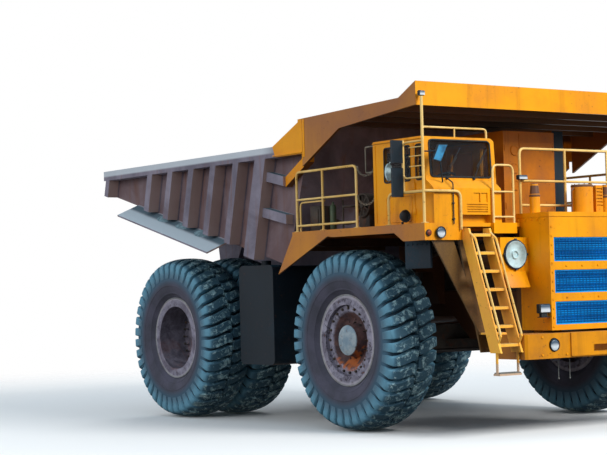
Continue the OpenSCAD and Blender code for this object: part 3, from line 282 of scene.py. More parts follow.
def bolts(places, size=0.018, height=0.014, axis="X"):
    turn = {"X": (0, math.pi / 2, 0), "Y": (math.pi / 2, 0, 0), "Z": (0, 0, 0)}[axis]
    made = []
    for place in places:
        clear()
        mesh.primitive_cylinder_add(vertices=6, radius=size, depth=height, location=place, rotation=turn)
        made.append(bpy.context.object)
    return join(made)


# %% [markdown]
# Finishes are node trees. `Value` wraps a socket, so that an expression such as `1 - dust * 0.4` adds
# the Math nodes by itself. `Nodes.add` makes any other node in one line, and `Nodes.mix` lays further
# layers of (share, tone) over the first two colours.

# %% A wrapper that turns Python sums into shader nodes
class Value:
    def __init__(self, tree, socket):
        self.tree, self.socket = tree, socket

    def __add__(self, b): return self.tree.math("ADD", self, b)
    def __radd__(self, b): return self.tree.math("ADD", b, self)
    def __sub__(self, b): return self.tree.math("SUBTRACT", self, b)
    def __rsub__(self, b): return self.tree.math("SUBTRACT", b, self)
    def __mul__(self, b): return self.tree.math("MULTIPLY", self, b)
    def __pow__(self, b): return self.tree.math("POWER", self, b)

    def band(self, low, high):
        limits = {"Value": self, "From Min": low, "From Max": high}
        return self.tree.add("MapRange", limits, clamp=True, interpolation_type="SMOOTHSTEP")


def rgb(code):
    parts = [int(code[i:i + 2], 16) / 255 for i in (0, 2, 4)]
    return tuple(p / 12.92 if p <= 0.04045 else ((p + 0.055) / 1.055) ** 2.4 for p in parts)


class Nodes:
    def __init__(self, tree):
        self.nodes, self.links = tree.nodes, tree.links

    def add(self, kind, inputs=None, output=0, **settings):
        node = self.nodes.new("ShaderNode" + kind)
        for key, value in settings.items():
            setattr(node, key, value)
        for key, value in (inputs or {}).items():
            self.feed(node.inputs[key], value)
        return Value(self, node.outputs[output])

    def feed(self, socket, value):
        if isinstance(value, Value):
            self.links.new(value.socket, socket)
        elif socket.type == "RGBA":
            socket.default_value = (*(rgb(value) if isinstance(value, str) else value), 1)
        else:
            socket.default_value = value

    def math(self, kind, a, b):
        return self.add("Math", {0: a, 1: b}, operation=kind)

    def mix(self, factor, a, b, *layers):
        colour = self.add("Mix", {0: factor, 6: a, 7: b}, 2, data_type="RGBA")
        for share, tone in layers:
            colour = self.mix(share, colour, tone)
        return colour


class Finish(Nodes):
    def __init__(self, name):
        self.material = bpy.data.materials.new(name)
        self.material.use_nodes = True
        super().__init__(self.material.node_tree)
        self.shader = self.nodes["Principled BSDF"]
        self.shader.inputs["Specular IOR Level"].default_value = 0.22
        self.place = self.add("TexCoord", output="Object")

    def noise(self, scale, detail=4, rough=0.55, stretch=(1, 1, 1), warp=0):
        place = self.add("Mapping", {"Vector": self.place, "Scale": stretch})
        return self.add("TexNoise", {
            "Vector": place, "Scale": scale, "Detail": detail, "Roughness": rough, "Distortion": warp})

    def axis(self, name):
        return self.add("SeparateXYZ", {"Vector": self.place}, name)

    def facing(self, name):
        return self.add("SeparateXYZ", {"Vector": self.add("TexCoord", output="Normal")}, name)

    def sideways(self):
        return (self.facing("Y") ** 2).band(0.5, 0.9)

    def from_middle(self):
        return (self.axis("Y") ** 2) ** 0.5

    def from_axle(self, x):
        return (((self.axis("X") - x) ** 2) + ((self.axis("Z") - AXLE_Z) ** 2)) ** 0.5

    # 1 where painted shade goes: below the deck, and below the canopy's roof
    def painted_shade_below(self, up):
        inside = 1 - self.from_middle().band(3.135, 3.155)
        below_deck = (1 - self.axis("X").band(4.745, 4.76)) * (1 - self.axis("Z").band(3.27, 3.3))
        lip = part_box("canopy")[1][0] - 0.065
        behind_lip = 1 - self.axis("X").band(lip, lip + 0.003)
        return inside * (below_deck + behind_lip * self.axis("Z").band(5.05, 5.15) * (1 - up))

    def done(self, colour, roughness, bump=None, **others):
        if bump:
            others["Normal"] = self.add("Bump", dict(zip(("Height", "Strength", "Distance"), bump)))
        for key, value in {"Base Color": colour, "Roughness": roughness, **others}.items():
            self.feed(self.shader.inputs[key], value)
        return self.material


# %% [markdown]
# Grey rock dust lies on all that faces up, rain draws it down the sides in streaks, and stones knock
# chips off that rust. The paint finish lays these over the base colour, each at its real size: clouds
# of a metre, streaks a hand wide, chips of a centimetre or two. Sides behind a given point go brown,
# partly dirt and partly painted shade, and low steps are worn bare. Faces that look down, and faces
# below the deck and under the canopy's roof, get painted shade in dark brown.

# %% Dusty, chipped paint with painted shade
def paint(name, base, shade, dust_colour="8f8678", dust=0.35, rust=0.5, rough=0.42, dirt_and_painted_shade_sides=0, behind=1.5,
          with_painted_shade=True, worn_below=0):
    t = Finish(name)
    clouds = t.noise(0.9, 5, 0.6)
    streaks = t.noise(5.5, 4, 0.55, stretch=(1, 1, 0.09), warp=0.4)
    fine = t.noise(38, 5, 0.65)
    pits = t.noise(17, 6, 0.72, warp=0.6) + clouds * 0.22
    up = t.facing("Z").band(0.55, 0.98)
    chips = pits.band(0.755, 0.79) * rust
    settled = (up * 0.75 + clouds.band(0.45, 0.75) * 0.35) * dust + up * fine.band(0.45, 0.7) * 0.2
    layers = [(streaks.band(0.5, 0.82) * 0.45, tuple(c * 0.55 for c in rgb(shade))),
              (pits.band(0.69, 0.78) * rust * 0.45, "8a4a1c"), (chips, "4b2f22")]
    if dirt_and_painted_shade_sides:
        # Sides behind `behind` go brown: partly dirt, partly painted shade
        side = t.sideways() * t.axis("X").band(behind - 0.01, behind + 0.01)
        layers.append((side * (0.55 + clouds * 0.6) * dirt_and_painted_shade_sides, "7d4f3a"))
    # Painted shade: faces that look down go dark brown
    layers.append((t.facing("Z").band(-0.6, -0.95) * 0.92, "33251f"))
    # Painted shade below the deck and under the canopy's roof
    if with_painted_shade:
        layers.append((t.painted_shade_below(up) * (0.82 + fine * 0.15), "2b2322"))
    if worn_below:
        layers.append(((1 - t.axis("Z").band(worn_below - 0.03, worn_below)) * 0.75, "b7a79c"))
    colour = t.mix(clouds.band(0.32, 0.68), base, shade, *layers, (settled, dust_colour))
    return t.done(colour, rough + settled * 0.4 + chips * 0.3,
                  (fine * 0.25 + chips * -0.8 + streaks * 0.15, 0.22, 0.006))


AMBER = paint("amber_paint", "f1a000", "de8a00", dust=0.18)
CANOPY = paint("canopy_paint", "f1a000", "de8a00", dust=0.18, dirt_and_painted_shade_sides=0.85)
OCHRE = paint("ochre_paint", "cb760c", "a35a0c", dust=0.3, rust=0.9)
CREAM = paint("rail_paint", "ecca82", "dcae54", dust=0.4, rust=0.9, rough=0.5)
SKIRT = paint("deck_paint", "ef9c06", "dc8706", rust=0.9, dirt_and_painted_shade_sides=0.62, behind=-1)
BUMPER = paint("bumper_paint", "e09002", "b06c0c", dust=0.22, rust=0.9, dirt_and_painted_shade_sides=0.4)
LADDER = paint("ladder_paint", "ffbe48", "f6a83a", "dcc09c", dust=0.6, rust=0.7, worn_below=1.2)
CAP_BROWN = paint("cap_paint", "7a4a2c", "5b3924", dust=0.5, rust=0.8)
HOIST = paint("hoist_paint", "7b7d79", "595b58", rust=0.7)
NAVY = paint("tank_paint", "1f3446", "172a3a", "4d5b66", dust=0.18, rust=0.3, rough=0.45)
SHELL = paint("mirror_paint", "152732", "0f1c25", "3d5866", dust=0.2, rust=0.2)
TANK = paint("side_tank_paint", "0b1822", "08121b", "24495c", dust=0.7, rust=0.2, rough=0.6, with_painted_shade=False)
BOTTLE = paint("bottle_paint", "4a5a44", "38452f", dust=0.5)
print("paints made")

# %% [markdown]
# The load body is bare steel for most of its life, a brownish grey with a violet cast. Rust runs down
# between the ribs, and a chalky bloom of dust lies on the top rail and on the shelf over the rear wheels.
# The ribs' forward faces are made paler, as painted light, and the shelf's inner strip by the wall gets
# dark teal painted shade.

# %% Scoured steel of the load body
def scoured_steel():
    t = Finish("body_steel")
    clouds = t.noise(1.1, 6, 0.62, warp=0.5)
    runs = t.noise(4.2, 5, 0.6, stretch=(1.6, 1, 0.12), warp=0.7)
    fine = t.noise(30, 6, 0.7)
    up, out = t.facing("Z").band(0.5, 0.95), t.from_middle()
    bay = (1 - out.band(2.97, 3.05)) * t.axis("Z").band(2.6, 2.9) * out.band(2.9, 2.94) * t.sideways()
    rail = t.axis("Z").band(4.8, 4.84) * out.band(3.1, 3.15) * (1 - t.axis("X").band(0.2, 0.9))
    colour = t.mix(
        clouds.band(0.3, 0.7), "8e8896", "686370", (runs.band(0.54, 0.76) * 0.5, "7f5540"),
        (fine.band(0.55, 0.75) * 0.3, "9a938c"), (bay * (0.25 + runs * 0.6), "6d4a3c"),
        # Painted light: the ribs' forward faces are made paler
        (t.facing("X").band(0.6, 0.9) * out.band(2.96, 3) * 0.75, "b89a8e"), (rail * 0.8, "cfd8df"),
        # Dust on faces that look up, then painted shade in dark teal on the shelf's inner strip
        (up * (0.55 + fine * 0.4), "a9adb6"), (up * (1 - out.band(3.1, 3.22)) * out.band(2.96, 3) * 0.85, "3f5f6c"),
        (up * out.band(3.12, 3.2) * 0.8, "c2d2da"))
    return t.done(colour, 0.62 + clouds * 0.25, (fine * 0.6 + clouds * 0.6, 0.3, 0.008), Metallic=0.15)


def iron(name, dark, light, rust):
    t = Finish(name)
    fine = t.noise(45, 5, 0.7)
    blots = t.noise(6, 5, 0.6, warp=0.8).band(0.5, 0.72)
    colour = t.mix(t.noise(2.2, 6, 0.65, warp=0.4).band(0.3, 0.7), dark, light, (blots * rust, "6b3d24"),
                   (t.facing("Z").band(0.5, 1) * 0.5, "7f786e"))
    return t.done(colour, 0.6 + fine * 0.3, (fine, 0.35, 0.005), Metallic=0.25)


STEEL = scoured_steel()
IRON = iron("axle_iron", "2f2b29", "4d4640", 0.5)
CHAIN = iron("chain_steel", "6d6a61", "96907f", 0.5)
RING_STEEL = iron("bead_steel", "76787c", "a5a6a8", 0.35)
print("steels made")

# %% [markdown]
# Tyre rubber is near black only when new: here it is blue-grey with dust. The blocks are palest on the
# shoulders, and scuffed on the crown, where pale painted glints lie on the scuffs. The floor of the
# grooves gets painted shade, near black. The wheels' iron is brown, darker in its recess, bare at its
# edge and rusty below the hub. Each finish is told where its axle is, so front and rear have their own.

# %% Rubber and wheel iron
def tyre_rubber(name, x):
    t = Finish(name)
    out, fine = t.from_axle(x), t.noise(34, 6, 0.7)
    glints_and_scuffs = t.noise(8, 6, 0.72, warp=0.5).band(0.5, 0.62)
    crown = out.band(1.42, 1.47)
    colour = t.mix(
        t.noise(2.4, 5, 0.6).band(0.3, 0.7), "3a5d72", "4a7488",
        ((1 - out.band(1.4, 1.47)) * (0.55 + fine * 0.4), "6fa4bb"), ((1 - out.band(1.16, 1.34)) * 0.75, "4f6272"),
        # Pale painted glints on the crown, over the scuffs (this layer and the next)
        (out.band(1.43, 1.49) * 0.8, "33505f"), (crown * glints_and_scuffs * 0.85, "8fb9c2"),
        (crown * glints_and_scuffs * fine.band(0.5, 0.62) * 0.8, "cfe3e4"))
    grain = glints_and_scuffs * 1.2 + fine * 0.7 + t.noise(9, 4, 0.6) * 0.6
    return t.done(colour, 0.72 - glints_and_scuffs * 0.2, (grain, 0.45, 0.01))


def casing_rubber(name, x):
    t = Finish(name)
    out, clouds, fine = t.from_axle(x), t.noise(2.4, 5, 0.6), t.noise(34, 6, 0.7)
    colour = t.mix(
        clouds.band(0.3, 0.7), "44454f", "535261", (out.band(1, 1.2), "46667a"),
        # Painted shade: the casing between the blocks, the grooves' floor, goes near black
        (out.band(1.19, 1.36) * 0.88, "15252f"), (fine.band(0.56, 0.72) * clouds.band(0.4, 0.6) * 0.35, "6c7580"))
    return t.done(colour, 0.75 + fine * 0.2, (fine * 0.7 + t.noise(9, 4, 0.6) * 0.6, 0.35, 0.006))


def wheel_iron(name, x, recess, edge, rusty, deep):
    t = Finish(name)
    out, clouds, fine = t.from_axle(x), t.noise(4, 6, 0.65, warp=0.5), t.noise(40, 5, 0.7)
    blots = t.noise(11, 5, 0.7, warp=0.6)
    low = 1 - t.axis("Z").band(AXLE_Z - 0.15, AXLE_Z + 0.05)
    runs = t.noise(3.1, 4, 0.6, warp=0.7).band(0.47, 0.58) * low * (1 - out.band(recess, recess + 0.05))
    colour = t.mix(
        clouds.band(0.3, 0.7), "9b98a8", "676270", (blots.band(0.52, 0.6) * (0.3 + rusty * 0.45), "2f2b34"),
        (blots.band(0.62, 0.7) * 0.7, "7a4631"),
        # Darker in the recess: brown at the front, grey at the rear
        ((1 - out.band(recess - 0.03, recess)) * 0.9, t.mix(clouds.band(0.35, 0.65), *deep)),
        (runs * rusty * 0.85, "b2622f"), (out.band(edge, edge + 0.03) * 0.55, "b9b4bd"))
    return t.done(colour, 0.6 + fine * 0.3, (fine + blots * 1.5, 0.4, 0.006), Metallic=0.2)


AXLES = {"front": REAR_X + WHEELBASE, "rear": REAR_X}
RUBBER = {end: tyre_rubber("tyre_rubber_" + end, x) for end, x in AXLES.items()}
CASING = {end: casing_rubber("casing_rubber_" + end, x) for end, x in AXLES.items()}
WHEEL_IRON = {"front": wheel_iron("front_wheel_iron", AXLES["front"], 0.49, 0.7, 1, ("5b3a30", "38292a")),
              "rear": wheel_iron("rear_wheel_iron", AXLES["rear"], 0.62, 0.72, 0.12, ("6a6470", "47444e"))}
print("rubber and wheel iron made")

# %% [markdown]
# Smaller pieces get two tones of one colour, with blots of dirt where the photo has them. Chrome,
# enamel, window glass, fluted lamp glass and seat cloth each need a little more than that.

# %% Small finishes
def two_tone(name, light, dark, noise, edge, rough, bump=None, *blots):
    t = Finish(name)
    film = t.noise(*noise)
    layers = [(t.noise(*spots).band(*spot_edge) * share, tone) for spots, spot_edge, share, tone in blots]
    return t.done(t.mix(film.band(*edge), light, dark, *layers), rough[0] + film * rough[1],
                  bump and (film, *bump))


def polished():
    t = Finish("rod_chrome")
    film = t.noise(6, 4, 0.6, stretch=(1, 1, 0.3)).band(0.45, 0.75)
    return t.done(t.mix(film, "d3d6d8", "8f8b80"), 0.12 + film * 0.35, Metallic=1)


def blue_enamel(name, light, deep):
    t = Finish(name)
    fine = t.noise(60, 4, 0.6)
    colour = t.mix(t.noise(1.6, 5, 0.6).band(0.3, 0.7), light, deep, (fine.band(0.5, 0.75) * 0.2, "3a86bc"))
    t.shader.inputs["Specular IOR Level"].default_value = 0.08
    return t.done(colour, 0.5 + fine * 0.25, (fine, 0.15, 0.003))


def glass_with_dust_and_painted_reflection():
    t = Finish("window_glass")
    film = t.noise(3, 5, 0.65)
    # The brown patches are partly dust and partly painted reflection
    dust = film.band(0.5, 0.8)
    rough = 0.06 + film.band(0.4, 0.8) * 0.2
    return t.done(t.mix(dust * 0.4, "1a2226", "5b5248"), rough, Alpha=0.3 + dust * 0.2)


def lamp_glass():
    t = Finish("lamp_glass")
    flutes = t.add("TexWave", {"Vector": t.add("Mapping", {"Vector": t.place, "Scale": (0, 1, 0)}), "Scale": 14},
                   bands_direction="Y")
    # Painted reflection: pale where the lens faces down, dark blue where it faces up
    colour = t.mix(t.facing("Z").band(-0.1, 0.12), "dfe6ea", "2c4056", (flutes * 0.3, "8fa3b0"))
    return t.done(colour, 0.12 + flutes * 0.1, (flutes, 0.4, 0.004))


def woven():
    t = Finish("seat_cloth")
    weave = t.add("TexChecker", {"Vector": t.place, "Scale": 260}, "Fac")
    fine = t.noise(20, 4, 0.6)
    return t.done(t.mix(fine.band(0.3, 0.7), "2b2f35", "3c4149"), 0.85 + fine * 0.1, (weave * 0.6 + fine, 0.3, 0.002))


BLACK = two_tone("black_rubber", "1d2022", "35393b", (40, 5, 0.65), (0.4, 0.7), (0.6, 0.25), (0.2, 0.003))
HUB_GREY = two_tone("hub_grey", "7d93a2", "a9b5ba", (5, 5, 0.65), (0.35, 0.65), (0.5, 0.3), (0.2, 0.004),
                    ((11, 5, 0.7, (1, 1, 1), 0.6), (0.55, 0.68), 0.8, "6a4632"))
COVER = two_tone("cover_paint", "c3dde0", "9fb4b2", (5, 5, 0.6), (0.35, 0.7), (0.35, 0.3), (0.15, 0.004),
                 ((22, 5, 0.7), (0.6, 0.7), 0.6, "8a7a62"))
AMBER_LENS = two_tone("amber_lens", "7c2f14", "5a3826", (30, 4, 0.6), (0.4, 0.7), (0.2, 0.3))
# Painted sky reflection for the tilted mirror pane
SKY_REFLECTION_PAINT = two_tone("sky_glass", "3d8bb4", "1d4f70", (4, 4, 0.6), (0.4, 0.6), (0.2, 0.2))
SPILL = two_tone("rock_spill", "7f9aa3", "5c6f78", (14, 6, 0.7), (0.35, 0.65), (0.9, 0.08), (0.8, 0.03))
CHROME, GLASS, LAMP, CLOTH = polished(), glass_with_dust_and_painted_reflection(), lamp_glass(), woven()
BLUE = blue_enamel("grille_blue", "0a9ae6", "0880c6")
DEEP_BLUE = blue_enamel("screen_blue", "075a96", "06487c")
print("small finishes made")

# %% [markdown]
# The solids whose shapes are already right keep them and only get a finish. The first table says
# which by their slots, and the second names the nodes with finishes of their own: weathering, and on some painted
# shade.

# %% Finishes for the solids
FINISHES = {
    "amber_paint": AMBER, "ochre_paint": OCHRE, "rail_paint": CREAM, "body_steel": STEEL, "axle_iron": IRON,
    "grille_blue": BLUE, "tank_paint": NAVY, "hoist_steel": HOIST, "rod_chrome": CHROME, "window_glass": GLASS,
    "seat_cloth": CLOTH, "lamp_glass": LAMP, "chain_steel": CHAIN,
}
WHEEL_FINISHES = {"tyre_rubber": CASING, "rim_paint": WHEEL_IRON}
OWN_FINISH = {"bumper": BUMPER, "ladders": LADDER, "canopy": CANOPY, "side_decks": SKIRT, "mirrors": SHELL,
              "side_tanks": TANK}
for part in frame["record"]["subparts"]:
    node, slot = part["node"], part["material_slot"]
    if slot in WHEEL_FINISHES:
        finish = WHEEL_FINISHES[slot]["front" if "front" in node else "rear"]
    else:
        finish = OWN_FINISH.get(node, FINISHES[slot])
    solid = nodes[node]
    if solid.material_slots:
        for place in solid.material_slots:
            place.material = finish
    else:
        solid.data.materials.append(finish)
print("solids finished")

# %% [markdown]
# ## Tyres
# A rock tyre for a truck of this class is 3.06 m tall. Its casing of cord plies and rubber is pressed
# in a heated mould that leaves the tread: deep blocks with narrow S-shaped grooves, which run out over
# the shoulders. Here the casing is turned from its section, with the rings that the mould leaves on
# the sidewall. One block is lofted from the crown down the sidewall and arrayed round. The other half
# is the same mould turned end for end, two fifths of a block further on.

# %% One tyre: casing and blocks
CASING_HALF = [  # radius, half width
    (0.652, 0.296), (0.7, 0.314), (0.762, 0.32), (0.79, 0.334), (0.822, 0.372), (0.85, 0.398), (0.856, 0.41),
    (0.876, 0.418), (0.882, 0.416), (0.93, 0.438), (1, 0.455), (1.006, 0.462), (1.02, 0.464), (1.026, 0.46),
    (1.08, 0.463), (1.13, 0.463), (1.165, 0.452), (1.23, 0.444), (1.31, 0.434), (1.36, 0.41), (1.39, 0.36),
    (1.408, 0.26), (1.418, 0.12)]
BLOCK_SECTIONS = [  # out from the middle, shift round the tyre, half width, top radius, foot radius
    (0.012, 0, 0.091, 1.53, 1.4), (0.1, 0, 0.09, 1.528, 1.4), (0.17, 0.03, 0.089, 1.522, 1.395),
    (0.25, 0.066, 0.088, 1.51, 1.385), (0.33, 0.098, 0.087, 1.49, 1.37), (0.4, 0.112, 0.084, 1.462, 1.33),
    (0.432, 0.115, 0.081, 1.44, 1.28), (0.452, 0.117, 0.076, 1.412, 1.22), (0.464, 0.119, 0.068, 1.376, 1.15)]
STAGGER = 0.4
TURN_ROUND = Matrix.Rotation(math.pi, 4, "Z")


def make_tyre():
    outline = [(r, -y) for r, y in CASING_HALF] + [(1.42, 0)] + [(r, y) for r, y in reversed(CASING_HALF)]
    rings = []
    for y, shift, wide, top, foot in BLOCK_SECTIONS:
        edge = [(-wide - 0.01, foot), (-wide, top - 0.014), (-wide + 0.014, top),
                (wide - 0.014, top), (wide, top - 0.014), (wide + 0.01, foot)]
        rings.append([(r * math.sin((a - shift) / TYRE_R), y, r * math.cos((a - shift) / TYRE_R)) for a, r in edge])
    near = around(loft(rings), LUGS)
    far = copy_of(near, Matrix.Rotation(STAGGER * math.tau / LUGS, 4, "Y") @ TURN_ROUND)
    return turned(outline, (0, 0, 0), 80), join([near, far])


def on_wheel(x, y):
    return Matrix.Translation((x, y, AXLE_Z)) @ (Matrix() if y > 0 else TURN_ROUND)


casing, blocks = make_tyre()
tyres = {}
for name, x, y, body in WHEELS:
    end, place = name.split("_")[0], on_wheel(x, y)
    settle([copy_of(casing, place)], "casing_" + name, CASING[end], body)
    tyres[name] = settle([copy_of(blocks, place)], "tyre_" + name, RUBBER[end], body, smooth=28)
drop(casing, blocks)
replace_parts(tyres["front_left"], "front_tyre_left")
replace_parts(tyres["front_right"], "front_tyre_right")
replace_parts(tyres["rear_left_out"], "rear_tyres_left")
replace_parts(tyres["rear_right_out"], "rear_tyres_right")
print("tyres:", len(tyres))

# %% [markdown]
# The rims come as solids. Added to them are the split lock ring that holds the bead seat, the valve
# with its stem bent along the disc, and a stud through each nut. The front wheels also get a dished
# face plate and a grey dome over the hub.

# %% Lock rings, studs, valves and hubs
def rim_fittings(y_nut, nuts, nut_r, y_hub, hub_nuts, hub_r):
    parts = []
    for count, r, y, size in ((nuts, nut_r, y_nut, 0.022), (hub_nuts, hub_r, y_hub, 0.012)):
        nut = [(0, y - 0.02), (size, y - 0.02), (size, y + 0.018), (size * 0.75, y + 0.024), (0, y + 0.024)]
        parts.append(around(turned(nut, (r, 0, 0), 12), count))
    y = y_nut + 0.03
    parts.append(tube([(0, y_nut - 0.06, 0.56), (0, y, 0.575), (0, y, 0.64)], 0.009, 0.03))
    parts.append(turned([(0, 0), (0.014, 0), (0.014, 0.035), (0.009, 0.045), (0, 0.045)], (0, y, 0.63), 12, "Z"))
    return join(parts)


BEAD_RING = [(0.64, 0.296), (0.652, 0.332), (0.668, 0.338), (0.7, 0.33), (0.716, 0.336), (0.744, 0.336),
             (0.752, 0.346), (0.768, 0.35), (0.779, 0.342), (0.779, 0.322)]
FACE_PLATE = [(0.604, 0.23), (0.602, 0.268), (0.588, 0.28), (0.5, 0.284), (0.482, 0.272), (0.44, 0.225),
              (0.365, 0.158), (0.33, 0.142), (0.282, 0.142), (0.272, 0.156), (0.268, 0.3), (0.258, 0.318)]
HUB_DOME = [(0.256, 0.312), (0.252, 0.33), (0.225, 0.338), (0.21, 0.346), (0.15, 0.358), (0.07, 0.364),
            (0, 0.365)]
TWIN_HALF = 0.515  # half the distance between a twin pair's middles
fittings = {"front": rim_fittings(0.292, 20, 0.545, 0.164, 12, 0.3),
            "rear": rim_fittings(0.33 - TWIN_HALF, 24, 0.55, 0.376 - TWIN_HALF, 16, 0.4)}
for name, x, y, body in WHEELS:
    if name.endswith("_in"):
        continue
    end, place = name.split("_")[0], on_wheel(x, y)
    settle([copy_of(fittings[end], place)], "rim_fittings_" + name, IRON, body)
    made = [("bead_ring_", BEAD_RING, 80, RING_STEEL)]
    if end == "front":
        made += [("wheel_face_", FACE_PLATE, 72, WHEEL_IRON[end]), ("hub_dome_", HUB_DOME, 56, HUB_GREY)]
    for word, outline, steps, finish in made:
        piece = turned(outline, (0, 0, 0), steps)
        piece.matrix_world = place
        settle([piece], word + name, finish, body)
drop(*fittings.values())
print("rim fittings made")

# %% [markdown]
# ## Grilles
# Behind the three openings of the radiator housing stand blue grilles, with a welded screen of flat
# bars over each that keeps stones out of the core. The screen is one bar, repeated both ways.

# %% Stone screens
SCREEN_HALF, UPRIGHTS, UPRIGHT_PITCH, LEVEL_PITCH = 1.08, 30, 0.0733, 0.0405
screens = []
for low, high in ((1.77, 2.094), (2.275, 2.599), (2.779, 3.121)):
    upright = block((8.486, -1.07, low), (8.49, -1.056, high), 0.001)
    screens.append(row(upright, UPRIGHTS, (0, UPRIGHT_PITCH, 0)))
    level = block((8.4905, -SCREEN_HALF, low + 0.018), (8.4945, SCREEN_HALF, low + 0.028), 0.001)
    screens.append(row(level, round((high - low) / LEVEL_PITCH), (0, 0, LEVEL_PITCH)))
settle(screens, "stone_screens", DEEP_BLUE, smooth=0)
print("screens made")

# %% [markdown]
# ## Radiator housing and bumper
# The housing is folded plate, bolted along its flanges so that the core can be lifted out. The
# bumper is a box of thick plate with a raised middle panel, bolted on as well.

# %% Bolts of the housing and bumper
flange, more = [], []
for s in SIDES:
    flange += [(8.506, s * 1.155, 1.72 + 0.145 * i) for i in range(12)]
    flange += [(8.506, s * y, z) for z in (2.185, 2.689) for y in (0.15, 0.5, 0.85)]
    more += [(8.732, s * y, 1.575) for y in (0.3, 0.6, 0.9)]
    more += [(8.721, s * 1.1, 1.29), (8.721, s * 1.62, 1.57), (8.721, s * 1.62, 1.29)]
    more += [(x, s * 1.205, 3.44) for x in (7.8, 7.95, 8.1, 8.25, 8.4)]
settle([bolts(flange), bolts(more, 0.022)], "housing_bolts", AMBER, smooth=0)
print("housing dressed")

# %% [markdown]
# ## Air cleaners and tank caps
# The air cleaners' covers are spun pale dishes, held by a clamp ring with four lugs, and a shield
# leans forward below each. Thin rods hang under the bumper. The header tanks on the housing have
# brown caps and a bolted lid.

# %% Cover dishes, shields, rods and caps
CLEANER_Y, CLEANER_Z = 1.5, 2.885
DISH = [(0, 0.004), (0.045, 0.004), (0.055, 0.03), (0.066, 0.03), (0.078, 0.006), (0.15, 0),
        (0.185, 0.014), (0.205, 0.036), (0.218, 0.04), (0.218, 0.01), (0.2, -0.004), (0, -0.004)]
BAND = [(0.219, -0.002), (0.219, 0.03), (0.223, 0.038), (0.233, 0.038), (0.238, 0.03), (0.238, -0.002)]
for side, s in (("right", -1), ("left", 1)):
    front = (8.002, s * CLEANER_Y, CLEANER_Z)
    settle([turned(DISH, front, 64, "X")], "cleaner_dish_" + side, COVER)
    clamp = [turned(BAND, front, 64, "X")]
    lug = block((8.015, s * CLEANER_Y - 0.02, CLEANER_Z + 0.231), (8.045, s * CLEANER_Y + 0.02, CLEANER_Z + 0.256),
                0.004)
    clamp.append(around(lug, 4, (8, s * CLEANER_Y, CLEANER_Z), "X"))
    settle(clamp, "cleaner_clamp_" + side, NAVY)
shields = []
for s in SIDES:
    inner = min(s * 1.29, s * 1.72)
    lean = plate(on_y(inner, (8.001, 2.614), (8.013, 2.614), (8.132, 2.352), (8.12, 2.348)), (0, 0.43, 0))
    soften(lean, 0.003)
    shields += [lean, block((8.001, s * 1.283, 2.36), (8.012, s * 1.293, 3.15), 0.003)]
settle(shields, "cleaner_shields", AMBER)
rods = []
knob = [(0, -0.016), (0.012, -0.01), (0.015, 0), (0.012, 0.01), (0, 0.016)]
for y in [s * y for s in SIDES for y in (0.845, 1.09)]:
    rods += [tube([(8.5, y, 1.2), (8.5, y, 0.9)], 0.006), turned(knob, (8.5, y, 0.895), 12, "Z")]
settle(rods, "hanging_rods", HOIST)
TANK_X, TANK_Z = 8.01, 3.55
CAP = [(0, 0.474), (0.05, 0.474), (0.062, 0.462), (0.066, 0.43), (0.078, 0.33), (0.08, 0.312), (0, 0.312)]
LID = [(0, 0.478), (0.15, 0.478), (0.172, 0.474), (0.184, 0.466), (0.184, 0.44), (0.181, 0.436)]
caps = []
for y in (-1.04, 0.56):
    c = (TANK_X, y, TANK_Z)
    caps += [turned(CAP, c, 40, "Z"),
             turned([(0.04, 0.484), (0.054, 0.48), (0.056, 0.47), (0, 0.47), (0, 0.488)], c, 32, "Z"),
             turned([(0.0862, 0.3), (0.09, 0.296), (0.09, 0.268), (0.0862, 0.264)], c, 48, "Z")]
c = (TANK_X, 0.02, TANK_Z)
caps += [turned(LID, c, 56, "Z"),
         around(bolts([(TANK_X + 0.165, 0.02, TANK_Z + 0.482)], 0.009, 0.01, "Z"), 12, c, "Z"),
         tube(on_x(8.02, (-0.225, 3.56), (-0.225, 3.93), (-0.175, 3.97)), 0.013, 0.04)]
settle(caps, "tank_caps", CAP_BROWN)
print("cleaners and caps made")

# %% [markdown]
# ## Lamps
# Each headlamp is a pressed bowl with a dark bezel and a fluted, slightly domed lens. Box lamps stand
# on brackets beside the housing, and one hangs on the fence and one at the head of the pole. They
# replace the plain discs of the solids.

# %% Headlamps, small lamps and box lamps
bowls, bezels, lenses, markers = [], [], [], []
for s in SIDES:
    for x, y, z, r in ((8.66, 1.345, 1.44, 0.102), (7.832, 2.905, 3.25, 0.093)):
        c = (x, s * y, z)
        bowls.append(turned([(0, 0), (r * 0.75, 0), (r * 0.96, 0.022), (r, 0.045), (r * 0.93, 0.045),
                             (0, 0.03)], c, 40, "X"))
        bezels.append(turned([(r * 0.86, 0.045), (r * 0.88, 0.056), (r * 0.96, 0.058), (r * 1.02, 0.05),
                              (r * 1.02, 0.036), (r * 0.97, 0.034)], c, 48, "X"))
        lenses.append(turned([(0, 0.058), (r * 0.45, 0.055), (r * 0.8, 0.049), (r * 0.87, 0.044),
                              (r * 0.87, 0.038), (0, 0.038)], c, 40, "X"))
    c = (7.832, s * 3.13, 3.245)
    bowls.append(turned([(0, 0), (0.05, 0), (0.052, 0.02), (0.044, 0.026), (0, 0.026)], c, 28, "X"))
    markers.append(turned([(0, 0.05), (0.022, 0.047), (0.038, 0.038), (0.043, 0.024), (0, 0.024)], c, 28, "X"))
    y = s * 1.32
    bowls += [block((8.395, y - 0.115, 1.935), (8.48, y + 0.115, 2.085), 0.016),
              block((8.4, y - 0.06, 1.875), (8.465, y + 0.06, 1.937)),
              block((8.38, s * 1.19, 1.868), (8.47, s * 1.4, 1.88), 0.003)]
    lenses.append(block((8.48, y - 0.098, 1.952), (8.494, y + 0.098, 2.07), 0.005))
bowls.append(block((7.685, -1.14, 4.115), (7.755, -0.95, 4.19), 0.012))
lenses.append(block((7.755, -1.13, 4.122), (7.768, -0.96, 4.183), 0.004))
